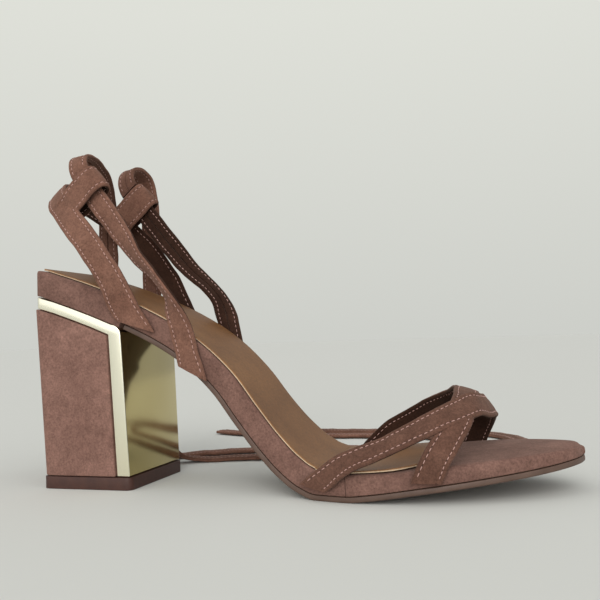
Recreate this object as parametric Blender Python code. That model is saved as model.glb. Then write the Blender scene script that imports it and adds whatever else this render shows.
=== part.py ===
"""A lace-up sandal on a flat-sided block heel: one shoe, standing empty on its sole.

The shoe's own axes: +X towards the toe, +Y towards its inner side, +Z up from the floor.
Its X starts at the back of the heel's foot, and the whole is centred over the world's origin.
"""

import math

import bmesh
import bpy
import numpy as np
from mathutils import Vector

# Main sizes, in metres
SHOE_LENGTH = 0.2265
BALL_WIDTH = 0.0760
SEAT_HEIGHT = 0.0862
INSTEP_HEIGHT = 0.0600
CLEARANCE = 0.0003

# Sole and insole
BED_THICKNESS = 0.0118
OUTSOLE_THICKNESS = 0.0022
INSOLE_THICKNESS = 0.0009
INSOLE_INSET = 0.0014
INSOLE_SEAT_INSET = 0.0030
INSOLE_SEAT_RUN = 0.30 * SHOE_LENGTH
INSOLE_FRONT = 0.7815 * SHOE_LENGTH
INSOLE_NOSE = 0.290 * BALL_WIDTH
BED_EDGE_ROUND = 0.0016
TOE_EDGE_ROUND = 0.0034
TOE_CROWN = 0.0012
TOE_COVER_BACK = 0.6137 * SHOE_LENGTH
TOE_PADDING_RUN = 0.265 * SHOE_LENGTH
PADDING_SWELL = 0.0003
OUTSOLE_LIP = 0.0005
OUTSOLE_INSET = 0.0005
OUTSOLE_START = 0.0018
FOOT_CHAMFER = 0.0005
THIN_EDGE_ROUND = 0.0003
SEAT_CURVE_RUN = 0.221 * SHOE_LENGTH
STATION_STEP = 0.0070

# Heel
HEEL_FOOT_LENGTH = 0.0428
HEEL_FOOT_WIDTH = 0.0512
HEEL_TOP_WIDTH = 0.0545
HEEL_CORNER = 0.0030
TOPLIFT_SPREAD = 0.0002
TOPLIFT_THICKNESS = 0.0054
BREAST_TOP = 0.0392
BREAST_FOOT = 0.0418
HEEL_BACK_TOP = -0.0030
HEEL_BACK_FOOT = 0.0004
GOLD_BAND = 0.0055
GOLD_STRIP = 0.0060
GOLD_RECESS = 0.0006
GOLD_CORNER = 0.0030

# Straps
STRAP_EDGE_ROUND = 0.0009
TOE_STRAP_WIDTH = 0.0104
SLING_WIDTH = 0.0118
LACE_WIDTH = 0.0100
STRAP_THICKNESS = 0.0021
LOOP_WIDTH = 0.0130
LOOP_REACH = 0.0228
LOOP_GAP = 0.0046
LOOP_PLY = 0.0018
INSTEP_SQUARENESS = 2.4
STRAP_STANDOFF = 0.0017
CROSSING_LIFT = 0.0016
CROSSING_PLACE = 0.800 * SHOE_LENGTH
CROSSING_REACH = 0.0090
TIE_REST = 0.0016
STRAP_STEP = 0.0035
FINE_STEP = 0.0020
LOOP_STEP = 0.0028
LONGEST_STEP = 0.0130
BEND_STEP = math.radians(7.0)

# The sole along the shoe: place as a share of SHOE_LENGTH, height of its underside as a share of
# SEAT_HEIGHT, thickness as a share of BED_THICKNESS, and the reach to the outer and inner side
# as shares of BALL_WIDTH.
SOLE_COLUMNS = ("along", "under", "thick", "outer", "inner")
SOLE_ROWS = (
    (-0.0155, 0.992, 0.910, 0.290, 0.290),
    (-0.0125, 0.985, 0.940, 0.325, 0.325),
    (0.0000, 0.978, 0.975, 0.353, 0.353),
    (0.0400, 0.942, 0.990, 0.364, 0.364),
    (0.0900, 0.895, 0.985, 0.366, 0.366),
    (0.1770, 0.800, 0.970, 0.362, 0.360),
    (0.2430, 0.712, 0.970, 0.350, 0.342),
    (0.3000, 0.612, 0.975, 0.338, 0.322),
    (0.3530, 0.480, 0.980, 0.332, 0.308),
    (0.3980, 0.326, 0.980, 0.340, 0.308),
    (0.4420, 0.190, 0.980, 0.362, 0.322),
    (0.4860, 0.084, 0.980, 0.394, 0.350),
    (0.5220, 0.026, 0.975, 0.422, 0.378),
    (0.5560, 0.000, 0.960, 0.450, 0.406),
    (0.6090, 0.000, 0.920, 0.486, 0.446),
    (0.6500, 0.011, 0.860, 0.500, 0.472),
    (0.6900, 0.026, 0.800, 0.502, 0.488),
    (0.7280, 0.041, 0.765, 0.492, 0.496),
    (0.7860, 0.062, 0.750, 0.462, 0.494),
    (0.8390, 0.080, 0.720, 0.408, 0.466),
    (0.8900, 0.097, 0.680, 0.334, 0.412),
    (0.9320, 0.111, 0.640, 0.252, 0.342),
    (0.9630, 0.122, 0.600, 0.170, 0.268),
    (0.9840, 0.130, 0.550, 0.092, 0.194),
    (0.9940, 0.133, 0.480, 0.030, 0.132),
    (0.9985, 0.135, 0.380, -0.018, 0.084),
)

# How the toe cover and the outsole end at the tip: the last section's size, and how far ahead.
TOE_NOSE_STEPS = ((0.92, 0.0004), (0.70, 0.0007), (0.40, 0.0009))
OUTSOLE_NOSE_STEPS = ((0.85, 0.0003), (0.50, 0.0005))

# The instep that the toe straps lie over: its height above the sole as a share of INSTEP_HEIGHT.
INSTEP_COLUMNS = ("along", "high")
INSTEP_ROWS = (
    (0.50, 0.93),
    (0.58, 0.79),
    (0.66, 0.65),
    (0.74, 0.58),
    (0.79, 0.54),
    (0.82, 0.48),
    (0.84, 0.37),
    (0.86, 0.25),
)

# Toe straps on that instep: place along, angle round it from the outer side (0) over the top (90)
# to the inner side (180), turn of the edge-to-edge line in the strap's face, lean of that line out of
# the face (the worn twist), and width as a share of TOE_STRAP_WIDTH.
TOE_STRAP_COLUMNS = ("along", "angle", "turn", "lean", "wide")
OVER_STRAP_ROWS = (
    (0.5545, 2.0, 38.0, 0.0, 1.12),
    (0.5850, 7.2, 22.0, 10.0, 0.98),
    (0.6220, 15.0, 6.0, 24.0, 0.93),
    (0.6810, 23.0, 0.0, 28.0, 0.95),
    (0.7350, 33.5, 0.0, 14.0, 0.98),
    (0.7780, 43.5, 0.0, 0.0, 1.02),
    (0.8080, 55.0, 0.0, -5.0, 1.06),
    (0.8270, 71.0, 0.0, -4.0, 1.06),
    (0.8355, 92.0, 0.0, 0.0, 1.04),
    (0.8345, 118.0, 0.0, 0.0, 1.0),
    (0.8250, 143.0, 0.0, 0.0, 1.0),
    (0.8110, 161.0, -8.0, 0.0, 1.0),
    (0.7950, 176.5, -24.0, 0.0, 1.1),
)
UNDER_STRAP_ROWS = (
    (0.7480, 2.0, 20.0, 0.0, 1.12),
    (0.7610, 11.0, 10.0, 0.0, 1.05),
    (0.7810, 24.5, 0.0, 0.0, 1.0),
    (0.7980, 41.0, 0.0, 0.0, 1.0),
    (0.8050, 58.0, 0.0, 0.0, 1.0),
    (0.8060, 73.0, 0.0, 0.0, 1.0),
    (0.8010, 95.0, 0.0, 0.0, 1.0),
    (0.7800, 117.5, 0.0, 0.0, 1.0),
    (0.7400, 134.0, 0.0, 0.0, 1.0),
    (0.6880, 149.0, 0.0, 0.0, 1.0),
    (0.6420, 160.0, 0.0, 0.0, 1.0),
    (0.6070, 170.0, -14.0, 0.0, 1.05),
    (0.5850, 177.5, -34.0, 0.0, 1.12),
)

# Straps round the heel and ankle, on the outer side: place along as a share of SHOE_LENGTH, across
# as a share of BALL_WIDTH, up as a share of SEAT_HEIGHT, the way across the strap, and its width
# as a share of its own width. The inner side is its mirror image.
STRAP_COLUMNS = ("along", "across", "up", "way_x", "way_y", "way_z", "wide")
SLING_ROWS = (
    (0.2120, 0.375, 0.805, 0.95, 0.06, -0.30, 1.50),
    (0.1890, 0.379, 0.900, 0.92, 0.05, 0.10, 1.18),
    (0.1560, 0.397, 1.080, 0.82, 0.05, 0.52, 1.0),
    (0.1130, 0.392, 1.240, 0.76, 0.05, 0.65, 1.0),
    (0.0680, 0.352, 1.372, 0.75, 0.03, 0.66, 1.0),
    (0.0260, 0.262, 1.472, 0.75, 0.00, 0.66, 1.0),
    (-0.0010, 0.140, 1.536, 0.75, 0.00, 0.66, 1.0),
    (-0.0100, 0.000, 1.558, 0.75, 0.00, 0.66, 1.0),
)
LACE_ROWS = (
    (0.3215, 0.355, 0.572, 0.88, 0.03, -0.46, 1.42),
    (0.3140, 0.357, 0.655, 0.98, 0.02, -0.18, 1.12),
    (0.3065, 0.360, 0.735, 0.99, 0.00, -0.06, 1.08),
    (0.2990, 0.370, 0.810, 0.97, -0.06, 0.02, 1.06),
    (0.2910, 0.381, 0.880, 0.86, -0.42, 0.07, 1.03),
    (0.2790, 0.384, 0.955, 0.58, -0.78, 0.14, 1.0),
    (0.2510, 0.360, 1.045, 0.42, -0.84, 0.32, 1.0),
    (0.2080, 0.336, 1.160, 0.52, -0.66, 0.52, 1.0),
    (0.1720, 0.318, 1.285, 0.72, -0.25, 0.62, 1.0),
    (0.1290, 0.309, 1.431, 0.75, 0.00, 0.66, 1.0),
    (0.1040, 0.302, 1.526, 0.75, 0.00, 0.66, 1.0),
    (0.0850, 0.292, 1.598, 0.75, 0.00, 0.66, 1.0),
)

# The lace loops: their root in the same shares, their turn, and their side outline as a share of
# LOOP_REACH out from the root and of half the slot across it, back to the root mirrored.
LOOP_ALONG = 0.052
LOOP_ACROSS = 0.302
LOOP_UP = 1.405
LOOP_TURN = -10.0
LOOP_OUTLINE = ((0.0, 0.35), (0.16, 0.55), (0.32, 1.0), (0.72, 1.1), (0.93, 0.9), (1.0, 0.0))
RULING = Vector((0.75, 0.0, 0.66)).normalized()

# The free ties' routes, in the same shares. Up is 0 where a tie lies on the floor.
TIE_COLUMNS = ("along", "across", "up", "way_x", "way_y", "way_z")
OUTER_TIE_ROWS = (
    (0.0839, -0.2908, 1.6021, 0.75, 0.0, 0.66),
    (0.0781, -0.2882, 1.6299, 0.78, 0.0, 0.62),
    (0.0720, -0.2658, 1.6682, 0.85, 0.1, 0.5),
    (0.0649, -0.2039, 1.7053, 0.95, 0.1, 0.2),
    (0.0574, -0.1053, 1.7216, 0.99, 0.1, 0.0),
    (0.0486, 0.0395, 1.7053, 0.99, 0.1, 0.0),
    (0.0389, 0.1711, 1.6566, 0.99, 0.1, 0.0),
    (0.0243, 0.3000, 1.5603, 0.99, 0.1, 0.0),
    (0.0097, 0.3947, 1.3689, 1.0, 0.05, 0.0),
    (0.0018, 0.4408, 1.0441, 1.0, 0.0, 0.0),
    (0.0000, 0.4605, 0.6381, 1.0, 0.0, 0.0),
    (0.0044, 0.4934, 0.3016, 1.0, 0.0, 0.0),
    (0.0221, 0.5789, 0.0928, 0.93, -0.36, 0.0),
    (0.0662, 0.7368, 0.0000, 0.78, -0.62, 0.0),
    (0.1501, 0.9605, 0.0000, 0.64, -0.77, 0.0),
    (0.2649, 1.1711, 0.0000, 0.42, -0.9, 0.0),
    (0.3885, 1.2829, 0.0000, 0.16, -0.99, 0.0),
    (0.4989, 1.3158, 0.0000, 0.0, -1.0, 0.0),
    (0.5872, 1.3355, 0.0000, 0.2, -0.98, 0.0),
    (0.6711, 1.4539, 0.0000, 0.71, -0.71, 0.0),
    (0.7064, 1.6908, 0.0000, 1.0, 0.0, 0.0),
    (0.6711, 1.9276, 0.0000, 0.71, 0.71, 0.0),
    (0.5872, 2.0395, 0.0000, 0.15, 0.99, 0.0),
    (0.4768, 2.0395, 0.0000, -0.05, 1.0, 0.0),
    (0.3532, 2.0066, 0.0000, -0.05, 1.0, 0.0),
    (0.2296, 2.0197, 0.0000, 0.12, 0.99, 0.0),
    (0.1192, 2.1053, 0.0000, 0.35, 0.94, 0.0),
    (0.0221, 2.2368, 0.0000, 0.45, 0.9, 0.0),
)
INNER_TIE_ROWS = (
    (0.0839, 0.2908, 1.6021, 0.75, 0.0, 0.66),
    (0.0781, 0.2921, 1.6299, 0.78, 0.0, 0.62),
    (0.0733, 0.3026, 1.6763, 0.84, 0.0, 0.5),
    (0.0733, 0.3474, 1.7251, 0.93, -0.1, 0.25),
    (0.0777, 0.4276, 1.7378, 1.0, 0.0, 0.0),
    (0.0839, 0.5000, 1.6879, 1.0, 0.0, 0.0),
    (0.0883, 0.5368, 1.5835, 1.0, 0.0, 0.0),
    (0.0909, 0.5447, 1.3573, 1.0, 0.0, 0.0),
    (0.0909, 0.5368, 0.9861, 1.0, 0.0, 0.0),
    (0.0901, 0.5316, 0.5800, 1.0, 0.0, 0.0),
    (0.0971, 0.5500, 0.2668, 1.0, 0.0, 0.0),
    (0.1214, 0.6079, 0.0754, 0.9, -0.4, 0.0),
    (0.1766, 0.7039, 0.0000, 0.55, -0.83, 0.0),
    (0.2826, 0.8224, 0.0000, 0.25, -0.97, 0.0),
    (0.4194, 0.8816, 0.0000, 0.05, -1.0, 0.0),
    (0.5563, 0.8882, 0.0000, 0.0, -1.0, 0.0),
    (0.6755, 0.9342, 0.0000, 0.27, -0.96, 0.0),
    (0.7859, 1.0855, 0.0000, 0.62, -0.78, 0.0),
    (0.8609, 1.3553, 0.0000, 0.93, -0.37, 0.0),
    (0.8830, 1.6842, 0.0000, 1.0, 0.05, 0.0),
    (0.8477, 2.0132, 0.0000, 0.86, 0.5, 0.0),
    (0.7638, 2.2500, 0.0000, 0.5, 0.87, 0.0),
    (0.6490, 2.3487, 0.0000, 0.1, 0.99, 0.0),
    (0.5210, 2.3487, 0.0000, -0.04, 1.0, 0.0),
    (0.3885, 2.3224, 0.0000, -0.02, 1.0, 0.0),
    (0.2561, 2.3553, 0.0000, 0.2, 0.98, 0.0),
    (0.1369, 2.4737, 0.0000, 0.38, 0.93, 0.0),
)


def clear_scene():
    """Remove every object that the file starts with."""
    for obj in list(bpy.data.objects):
        bpy.data.objects.remove(obj, do_unlink=True)


def make_material(name, colour, roughness, metallic=0.0):
    """A Principled material of one plain colour."""
    material = bpy.data.materials.new(name)
    material.use_nodes = True
    shader = material.node_tree.nodes["Principled BSDF"]
    shader.inputs["Base Color"].default_value = (*colour, 1.0)
    shader.inputs["Roughness"].default_value = roughness
    shader.inputs["Metallic"].default_value = metallic
    return material


def monotone(places, values):
    """A smooth function through rows that never overshoots them, so that level rows stay level."""
    places = np.array(places, float)
    values = np.array(values, float)
    gaps = np.diff(places)
    slopes = np.diff(values) / gaps
    bends = np.zeros(len(places))
    for i in range(1, len(places) - 1):
        if slopes[i - 1] * slopes[i] > 0:
            before = 2 * gaps[i] + gaps[i - 1]
            after = gaps[i] + 2 * gaps[i - 1]
            bends[i] = (before + after) / (before / slopes[i - 1] + after / slopes[i])
    bends[0] = slopes[0]
    bends[-1] = slopes[-1]

    def value(place):
        place = min(max(place, places[0]), places[-1])
        i = min(int(np.searchsorted(places, place, side="right")) - 1, len(gaps) - 1)
        t = (place - places[i]) / gaps[i]
        return float(
            values[i] * (1 + 2 * t) * (1 - t) ** 2
            + gaps[i] * bends[i] * t * (1 - t) ** 2
            + values[i + 1] * t * t * (3 - 2 * t)
            + gaps[i] * bends[i + 1] * t * t * (t - 1)
        )

    return value


def column(rows, names, name, size):
    """A smooth function of the place along the shoe, from one column of a table."""
    index = names.index(name)
    return monotone([row[0] * SHOE_LENGTH for row in rows], [row[index] * size for row in rows])


under = column(SOLE_ROWS, SOLE_COLUMNS, "under", SEAT_HEIGHT)
thick = column(SOLE_ROWS, SOLE_COLUMNS, "thick", BED_THICKNESS)
outer = column(SOLE_ROWS, SOLE_COLUMNS, "outer", BALL_WIDTH)
inner = column(SOLE_ROWS, SOLE_COLUMNS, "inner", BALL_WIDTH)
instep = column(INSTEP_ROWS, INSTEP_COLUMNS, "high", INSTEP_HEIGHT)
SEAT_BACK = SOLE_ROWS[0][0] * SHOE_LENGTH
TOE_TIP = SOLE_ROWS[-1][0] * SHOE_LENGTH


def sole_point(x, y, rise):
    """A point of the sole: rise is measured square to its underside, or straight up at the seat."""
    step = 0.0005
    slope = (under(x + step) - under(x - step)) / (2 * step)
    square = min(max((x - SEAT_BACK) / SEAT_CURVE_RUN, 0.0), 1.0)
    lean = -slope * square * square * (3 - 2 * square)
    size = math.hypot(lean, 1.0)
    return Vector((x + rise * lean / size, y, under(x) + rise / size))


def stations(start, end):
    """Places along the shoe for a loft's sections: the table's own rows and steps between them."""
    marks = [start]
    marks += [row[0] * SHOE_LENGTH for row in SOLE_ROWS]
    marks = sorted(x for x in marks if start <= x < end - STATION_STEP / 8)
    marks.append(end)
    places = []
    for a, b in zip(marks, marks[1:]):
        count = max(1, round((b - a) / STATION_STEP))
        places += [a + (b - a) * i / count for i in range(count)]
    places.append(end)
    return places


def finish_mesh(name, bm, material, collection, smooth_angle=40.0):
    """Turn a finished bmesh into a named object with one material."""
    bmesh.ops.recalc_face_normals(bm, faces=bm.faces)
    mesh = bpy.data.meshes.new(name)
    bm.to_mesh(mesh)
    bm.free()
    mesh.shade_smooth()
    mesh.set_sharp_from_angle(angle=math.radians(smooth_angle))
    mesh.materials.append(material)
    obj = bpy.data.objects.new(name, mesh)
    collection.objects.link(obj)
    return obj


def loft(name, rings, material, collection):
    """Skin rings of equal count into one closed body with flat ends."""
    bm = bmesh.new()
    grid = [[bm.verts.new(point) for point in ring] for ring in rings]
    count = len(grid[0])
    for low, high in zip(grid, grid[1:]):
        for i in range(count):
            j = (i + 1) % count
            bm.faces.new((low[i], low[j], high[j], high[i]))
    bm.faces.new(grid[0][::-1])
    bm.faces.new(grid[-1])
    return finish_mesh(name, bm, material, collection)


def plate_ring(x, bottom, top, inset, edge, crown=0.0):
    """One section of a sole layer between two rises, with its upper edges rounded."""
    left = -outer(x) + inset
    right = inner(x) - inset
    half = (right - left) / 2
    edge = min(edge, 0.45 * (top - bottom), 0.8 * half)
    foot = min(FOOT_CHAMFER, 0.3 * half, 0.3 * (top - bottom))
    knee = edge * (1 - math.sqrt(0.5))
    profile = (
        (left + foot, bottom),
        (right - foot, bottom),
        (right, bottom + foot),
        (right, top - edge),
        (right - knee, top - knee),
        (right - edge, top),
        ((left + right) / 2, top + crown),
        (left + edge, top),
        (left + knee, top - knee),
        (left, top - edge),
        (left, bottom + foot),
    )
    return [sole_point(x, y, rise) for y, rise in profile]


def bed_bottom(x):
    """The rise of the footbed's underside: on the heel at the seat, on the outsole before it."""
    return 0.0 if x < BREAST_TOP else OUTSOLE_THICKNESS + CLEARANCE


def make_footbed(material, collection):
    """The covered insole board from the seat to the ball, with a step where the outsole starts."""
    rings = []
    places = stations(SEAT_BACK, TOE_COVER_BACK - CLEARANCE / 2)
    places = [x for x in places if abs(x - BREAST_TOP) > STATION_STEP / 6]
    places += [BREAST_TOP - 0.0001, BREAST_TOP + 0.0001]
    for x in sorted(places):
        rings.append(plate_ring(x, bed_bottom(x), thick(x), 0.0, BED_EDGE_ROUND))
    return loft("footbed", rings, material, collection)


def nose_rings(tip, steps):
    """Smaller copies of a last section, a little ahead of it, that round its blunt end off."""
    centre = sum(tip, Vector()) / len(tip)
    return [[centre + (p - centre) * size + Vector((ahead, 0.0, 0.0)) for p in tip] for size, ahead in steps]


def make_toe_cover(material, collection):
    """The padded and wrapped front of the footbed, from the ball to the toe."""
    rings = []
    for x in stations(TOE_COVER_BACK + CLEARANCE / 2, TOE_TIP):
        grow = min((x - TOE_COVER_BACK) / TOE_PADDING_RUN, 1.0)
        edge = BED_EDGE_ROUND + (TOE_EDGE_ROUND - BED_EDGE_ROUND) * grow
        bottom = OUTSOLE_THICKNESS + CLEARANCE
        top = thick(x)
        rings.append(plate_ring(x, bottom, top, -PADDING_SWELL * grow, edge, TOE_CROWN * grow))
    rings += nose_rings(rings[-1], TOE_NOSE_STEPS)
    return loft("toe_cover", rings, material, collection)


def make_outsole(material, collection):
    """The thin outsole from the heel's breast to the toe, with a small lip at the tip."""
    rings = []
    for x in stations(BREAST_TOP + OUTSOLE_START, TOE_TIP):
        front = min(max((x - TOE_COVER_BACK) / (TOE_TIP - TOE_COVER_BACK), 0.0), 1.0)
        inset = OUTSOLE_INSET - (OUTSOLE_INSET + OUTSOLE_LIP) * front
        rings.append(plate_ring(x, 0.0, OUTSOLE_THICKNESS, inset, THIN_EDGE_ROUND))
    rings += nose_rings(rings[-1], OUTSOLE_NOSE_STEPS)
    return loft("outsole", rings, material, collection)


def sock_inset(x):
    """How far inside the footbed's edge the sock ends: most round the heel seat."""
    share = min(max(1 - x / INSOLE_SEAT_RUN, 0.0), 1.0)
    return INSOLE_INSET + (INSOLE_SEAT_INSET - INSOLE_INSET) * share * share * (3 - 2 * share)


def make_insole(material, collection):
    """The sock that lines the footbed, with a rounded front edge under the toe straps."""
    rings = []
    start = SEAT_BACK + INSOLE_SEAT_INSET + 0.0012
    for x in stations(start, INSOLE_FRONT):
        left_over = max((x - INSOLE_FRONT + INSOLE_NOSE) / INSOLE_NOSE, 0.0)
        nose = (1 - math.sqrt(max(1 - left_over * left_over, 0.0))) * 0.8
        inset = sock_inset(x) + nose * min(outer(x), inner(x))
        grow = min(max((x - TOE_COVER_BACK) / TOE_PADDING_RUN, 0.0), 1.0)
        bottom = thick(x) + CLEARANCE + TOE_CROWN * grow
        rings.append(plate_ring(x, bottom, bottom + INSOLE_THICKNESS, inset, THIN_EDGE_ROUND))
    return loft("insole", rings, material, collection)


def heel_half_width(z, recess=0.0):
    """Half the heel's width at a height, tapering from the seat to the foot."""
    share = (z - TOPLIFT_THICKNESS) / (under(0.0) - TOPLIFT_THICKNESS)
    return (HEEL_FOOT_WIDTH + (HEEL_TOP_WIDTH - HEEL_FOOT_WIDTH) * share) / 2 - recess


def heel_prism(name, outline, recess, corner_at, material, collection):
    """A side outline carried across the heel, with its upright back corners rounded."""
    bm = bmesh.new()
    sides = []
    for side in (-1, 1):
        ring = [bm.verts.new((x, side * heel_half_width(z, recess), z)) for x, z in outline]
        sides.append(ring)
    count = len(outline)
    for i in range(count):
        j = (i + 1) % count
        bm.faces.new((sides[0][i], sides[0][j], sides[1][j], sides[1][i]))
    bm.faces.new(sides[0][::-1])
    bm.faces.new(sides[1])
    bm.edges.ensure_lookup_table()
    upright = []
    for edge in bm.edges:
        a, b = edge.verts
        if abs(a.co.y - b.co.y) < 0.003 and max(a.co.x, b.co.x) < corner_at:
            if abs(a.co.z - b.co.z) > 0.003:
                upright.append(edge)
    bmesh.ops.bevel(bm, geom=upright, offset=HEEL_CORNER, segments=4, profile=0.5, affect="EDGES")
    return finish_mesh(name, bm, material, collection, smooth_angle=30.0)


def seat_line(drop, start, end, count=5):
    """Points along the underside of the seat, dropped by a thickness."""
    places = np.linspace(start, end, count)
    return [(float(x), under(float(x)) - drop) for x in places]


def breast_x(z, inset):
    """The heel's breast face at a height, set back by an inset."""
    share = (under(BREAST_TOP) - z) / (under(BREAST_TOP) - TOPLIFT_THICKNESS)
    return BREAST_TOP + (BREAST_FOOT - BREAST_TOP) * share - inset


def back_x(z):
    """The heel's back face at a height."""
    share = (under(0.0) - z) / (under(0.0) - TOPLIFT_THICKNESS)
    return HEEL_BACK_TOP + (HEEL_BACK_FOOT - HEEL_BACK_TOP) * share


def corner_arc(front, top, radius, count=4):
    """Points that round the frame's upper front corner down to its breast."""
    points = []
    for i in range(1, count + 1):
        angle = math.radians(90 * i / count)
        z = top - radius * (1 - math.cos(angle))
        points.append((front - radius * (1 - math.sin(angle)), z))
    return points


def make_heel(materials, collection):
    """Suede-covered block, gold frame over it and down its breast, and the toplift."""
    floor = TOPLIFT_THICKNESS + CLEARANCE
    band_top = seat_line(CLEARANCE, HEEL_BACK_TOP + 0.0005, BREAST_TOP - GOLD_CORNER)
    band_top += corner_arc(BREAST_TOP, band_top[-1][1], GOLD_CORNER)
    band_low = seat_line(GOLD_BAND, HEEL_BACK_TOP + 0.0005, BREAST_TOP - GOLD_STRIP)
    foot_front = breast_x(floor, 0.0)
    frame_outline = band_top + [(foot_front, floor), (foot_front - GOLD_STRIP, floor)]
    frame_outline += band_low[::-1]
    back = HEEL_FOOT_LENGTH / 7
    heel_prism("heel_frame", frame_outline, GOLD_RECESS, back, materials["gold"], collection)

    gap = 2 * CLEARANCE
    block_top = seat_line(GOLD_BAND + gap, HEEL_BACK_TOP, BREAST_TOP - GOLD_STRIP - gap)
    block_outline = block_top + [(foot_front - GOLD_STRIP - gap, floor), (back_x(floor), floor)]
    heel_prism("heel_block", block_outline, 0.0, back, materials["suede"], collection)

    lift = [(0.0, 0.0), (HEEL_FOOT_LENGTH, 0.0)]
    lift += [(HEEL_FOOT_LENGTH, TOPLIFT_THICKNESS), (0.0, TOPLIFT_THICKNESS)]
    heel_prism("toplift", lift, -TOPLIFT_SPREAD, 2 * HEEL_FOOT_LENGTH, materials["rubber"], collection)


def catmull(points, step):
    """A smooth curve through points of any dimension, read at even steps of its first three."""
    points = [np.array(p, float) for p in points]
    ends = [2 * points[0] - points[1]] + points + [2 * points[-1] - points[-2]]
    dense = []
    for a, b, c, d in zip(ends, ends[1:], ends[2:], ends[3:]):
        for i in range(24):
            t = i / 24
            dense.append(
                0.5 * (2 * b + (c - a) * t + (2 * a - 5 * b + 4 * c - d) * t * t
                       + (3 * b - a - 3 * c + d) * t ** 3)
            )
    dense.append(points[-1])
    dense = np.array(dense)
    run = np.concatenate([[0.0], np.cumsum(np.linalg.norm(np.diff(dense[:, :3], axis=0), axis=1))])
    count = max(2, int(math.ceil(run[-1] / step)))
    marks = np.linspace(0.0, run[-1], count + 1)
    return np.stack([np.interp(marks, run, dense[:, k]) for k in range(dense.shape[1])], axis=1)


def thin_out(track):
    """Leave out steps where a strap runs straight, so that only its bends have close sections."""
    kept = [track[0]]
    heading = None
    for i in range(1, len(track) - 1):
        ahead = Vector(track[i + 1][:3]) - Vector(track[i][:3])
        if heading is None:
            heading = ahead
        far = (Vector(track[i][:3]) - Vector(kept[-1][:3])).length
        twist = Vector(track[i][3:6]).angle(Vector(kept[-1][3:6]))
        if max(ahead.angle(heading), twist) > BEND_STEP or far > LONGEST_STEP:
            kept.append(track[i])
            heading = ahead
    kept.append(track[-1])
    return np.array(kept)


def strap_rings(centres, ways, widths, thickness):
    """Sections of a flat strap: rounded at both edges, square to its run unless a way leans."""
    centres = [Vector(c) for c in centres]
    rings = []
    for i, centre in enumerate(centres):
        ahead = centres[min(i + 1, len(centres) - 1)] - centres[max(i - 1, 0)]
        way = Vector(ways[i]).normalized()
        face = ahead.cross(way).normalized()
        half = widths[i] / 2
        deep = thickness / 2
        soft = min(STRAP_EDGE_ROUND, deep * 0.8)
        profile = (
            (-half + soft, -deep), (half - soft, -deep), (half, -deep + soft), (half, deep - soft),
            (half - soft, deep), (-half + soft, deep), (-half, deep - soft), (-half, -deep + soft),
        )
        rings.append([centre + way * a + face * b for a, b in profile])
    return rings


def instep_point(x, round_angle):
    """A point of the instep and its outward way, at an angle round from the outer side."""
    angle = math.radians(round_angle)
    power = 2 / INSTEP_SQUARENESS
    side = math.cos(angle)
    reach = (outer(x) if side > 0 else inner(x)) + STRAP_STANDOFF
    y = -math.copysign(abs(side) ** power, side) * reach
    base = under(x) + OUTSOLE_THICKNESS
    return Vector((x, y, base + abs(math.sin(angle)) ** power * instep(x)))


def toe_strap(name, rows, lift, material, collection):
    """A strap over the instep from one seam to the other."""
    scaled = []
    for row in rows:
        cell = dict(zip(TOE_STRAP_COLUMNS, row))
        x = cell["along"] * SHOE_LENGTH
        turns = (cell["angle"], cell["turn"], cell["lean"], cell["wide"])
        scaled.append((*instep_point(x, cell["angle"]), x, *turns))
    track = catmull(scaled, STRAP_STEP)
    centres = []
    ways = []
    widths = []
    for i, row in enumerate(track):
        x, angle, turn, lean, wide = row[3:]
        point = instep_point(x, angle)
        before = track[max(i - 1, 0)]
        after = track[min(i + 1, len(track) - 1)]
        ahead = instep_point(after[3], after[4]) - instep_point(before[3], before[4])
        round_way = instep_point(x, min(angle + 0.4, 179.6)) - instep_point(x, max(angle - 0.4, 0.4))
        along_way = instep_point(x + 0.001, angle) - instep_point(x - 0.001, angle)
        face = along_way.cross(round_way).normalized()
        way = ahead.cross(face).normalized()
        leaned = way * math.cos(math.radians(lean)) + face * math.sin(math.radians(lean))
        turned = leaned * math.cos(math.radians(turn)) + ahead.normalized() * math.sin(math.radians(turn))
        bump = math.exp(-((x - CROSSING_PLACE) ** 2 + point.y ** 2 / 3) / (2 * CROSSING_REACH ** 2))
        centres.append(point + face * lift * bump)
        ways.append(turned)
        widths.append(TOE_STRAP_WIDTH * wide)
    rings = strap_rings(centres, ways, widths, STRAP_THICKNESS)
    return loft(name, rings, material, collection)


def join(target, pieces):
    """Fuse pieces into a target by a Boolean union, and keep the result as its mesh."""
    for piece in pieces:
        union = target.modifiers.new("union", "BOOLEAN")
        union.operation = "UNION"
        union.object = piece
        depsgraph = bpy.context.evaluated_depsgraph_get()
        depsgraph.update()
        mesh = bpy.data.meshes.new_from_object(target.evaluated_get(depsgraph))
        target.modifiers.clear()
        target.data = mesh
        bpy.data.objects.remove(piece, do_unlink=True)
    target.data.shade_smooth()
    target.data.set_sharp_from_angle(angle=math.radians(40.0))


def make_toe_straps(material, collection):
    """The two crossed toe straps, one over the other and joined where they cross."""
    under_strap = toe_strap("toe_straps", UNDER_STRAP_ROWS, 0.0, material, collection)
    over_strap = toe_strap("over_strap", OVER_STRAP_ROWS, CROSSING_LIFT, material, collection)
    join(under_strap, [over_strap])
    return under_strap


def free_points(rows, side):
    """Rows of a free strap as points and ways, on the outer (-1) or the inner (+1) side."""
    points = []
    for row in rows:
        cell = dict(zip(STRAP_COLUMNS, row))
        x = cell["along"] * SHOE_LENGTH
        y = side * cell["across"] * BALL_WIDTH
        z = cell["up"] * SEAT_HEIGHT
        points.append((x, y, z, cell["way_x"], -side * cell["way_y"], cell["way_z"], cell["wide"]))
    return points


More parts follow.
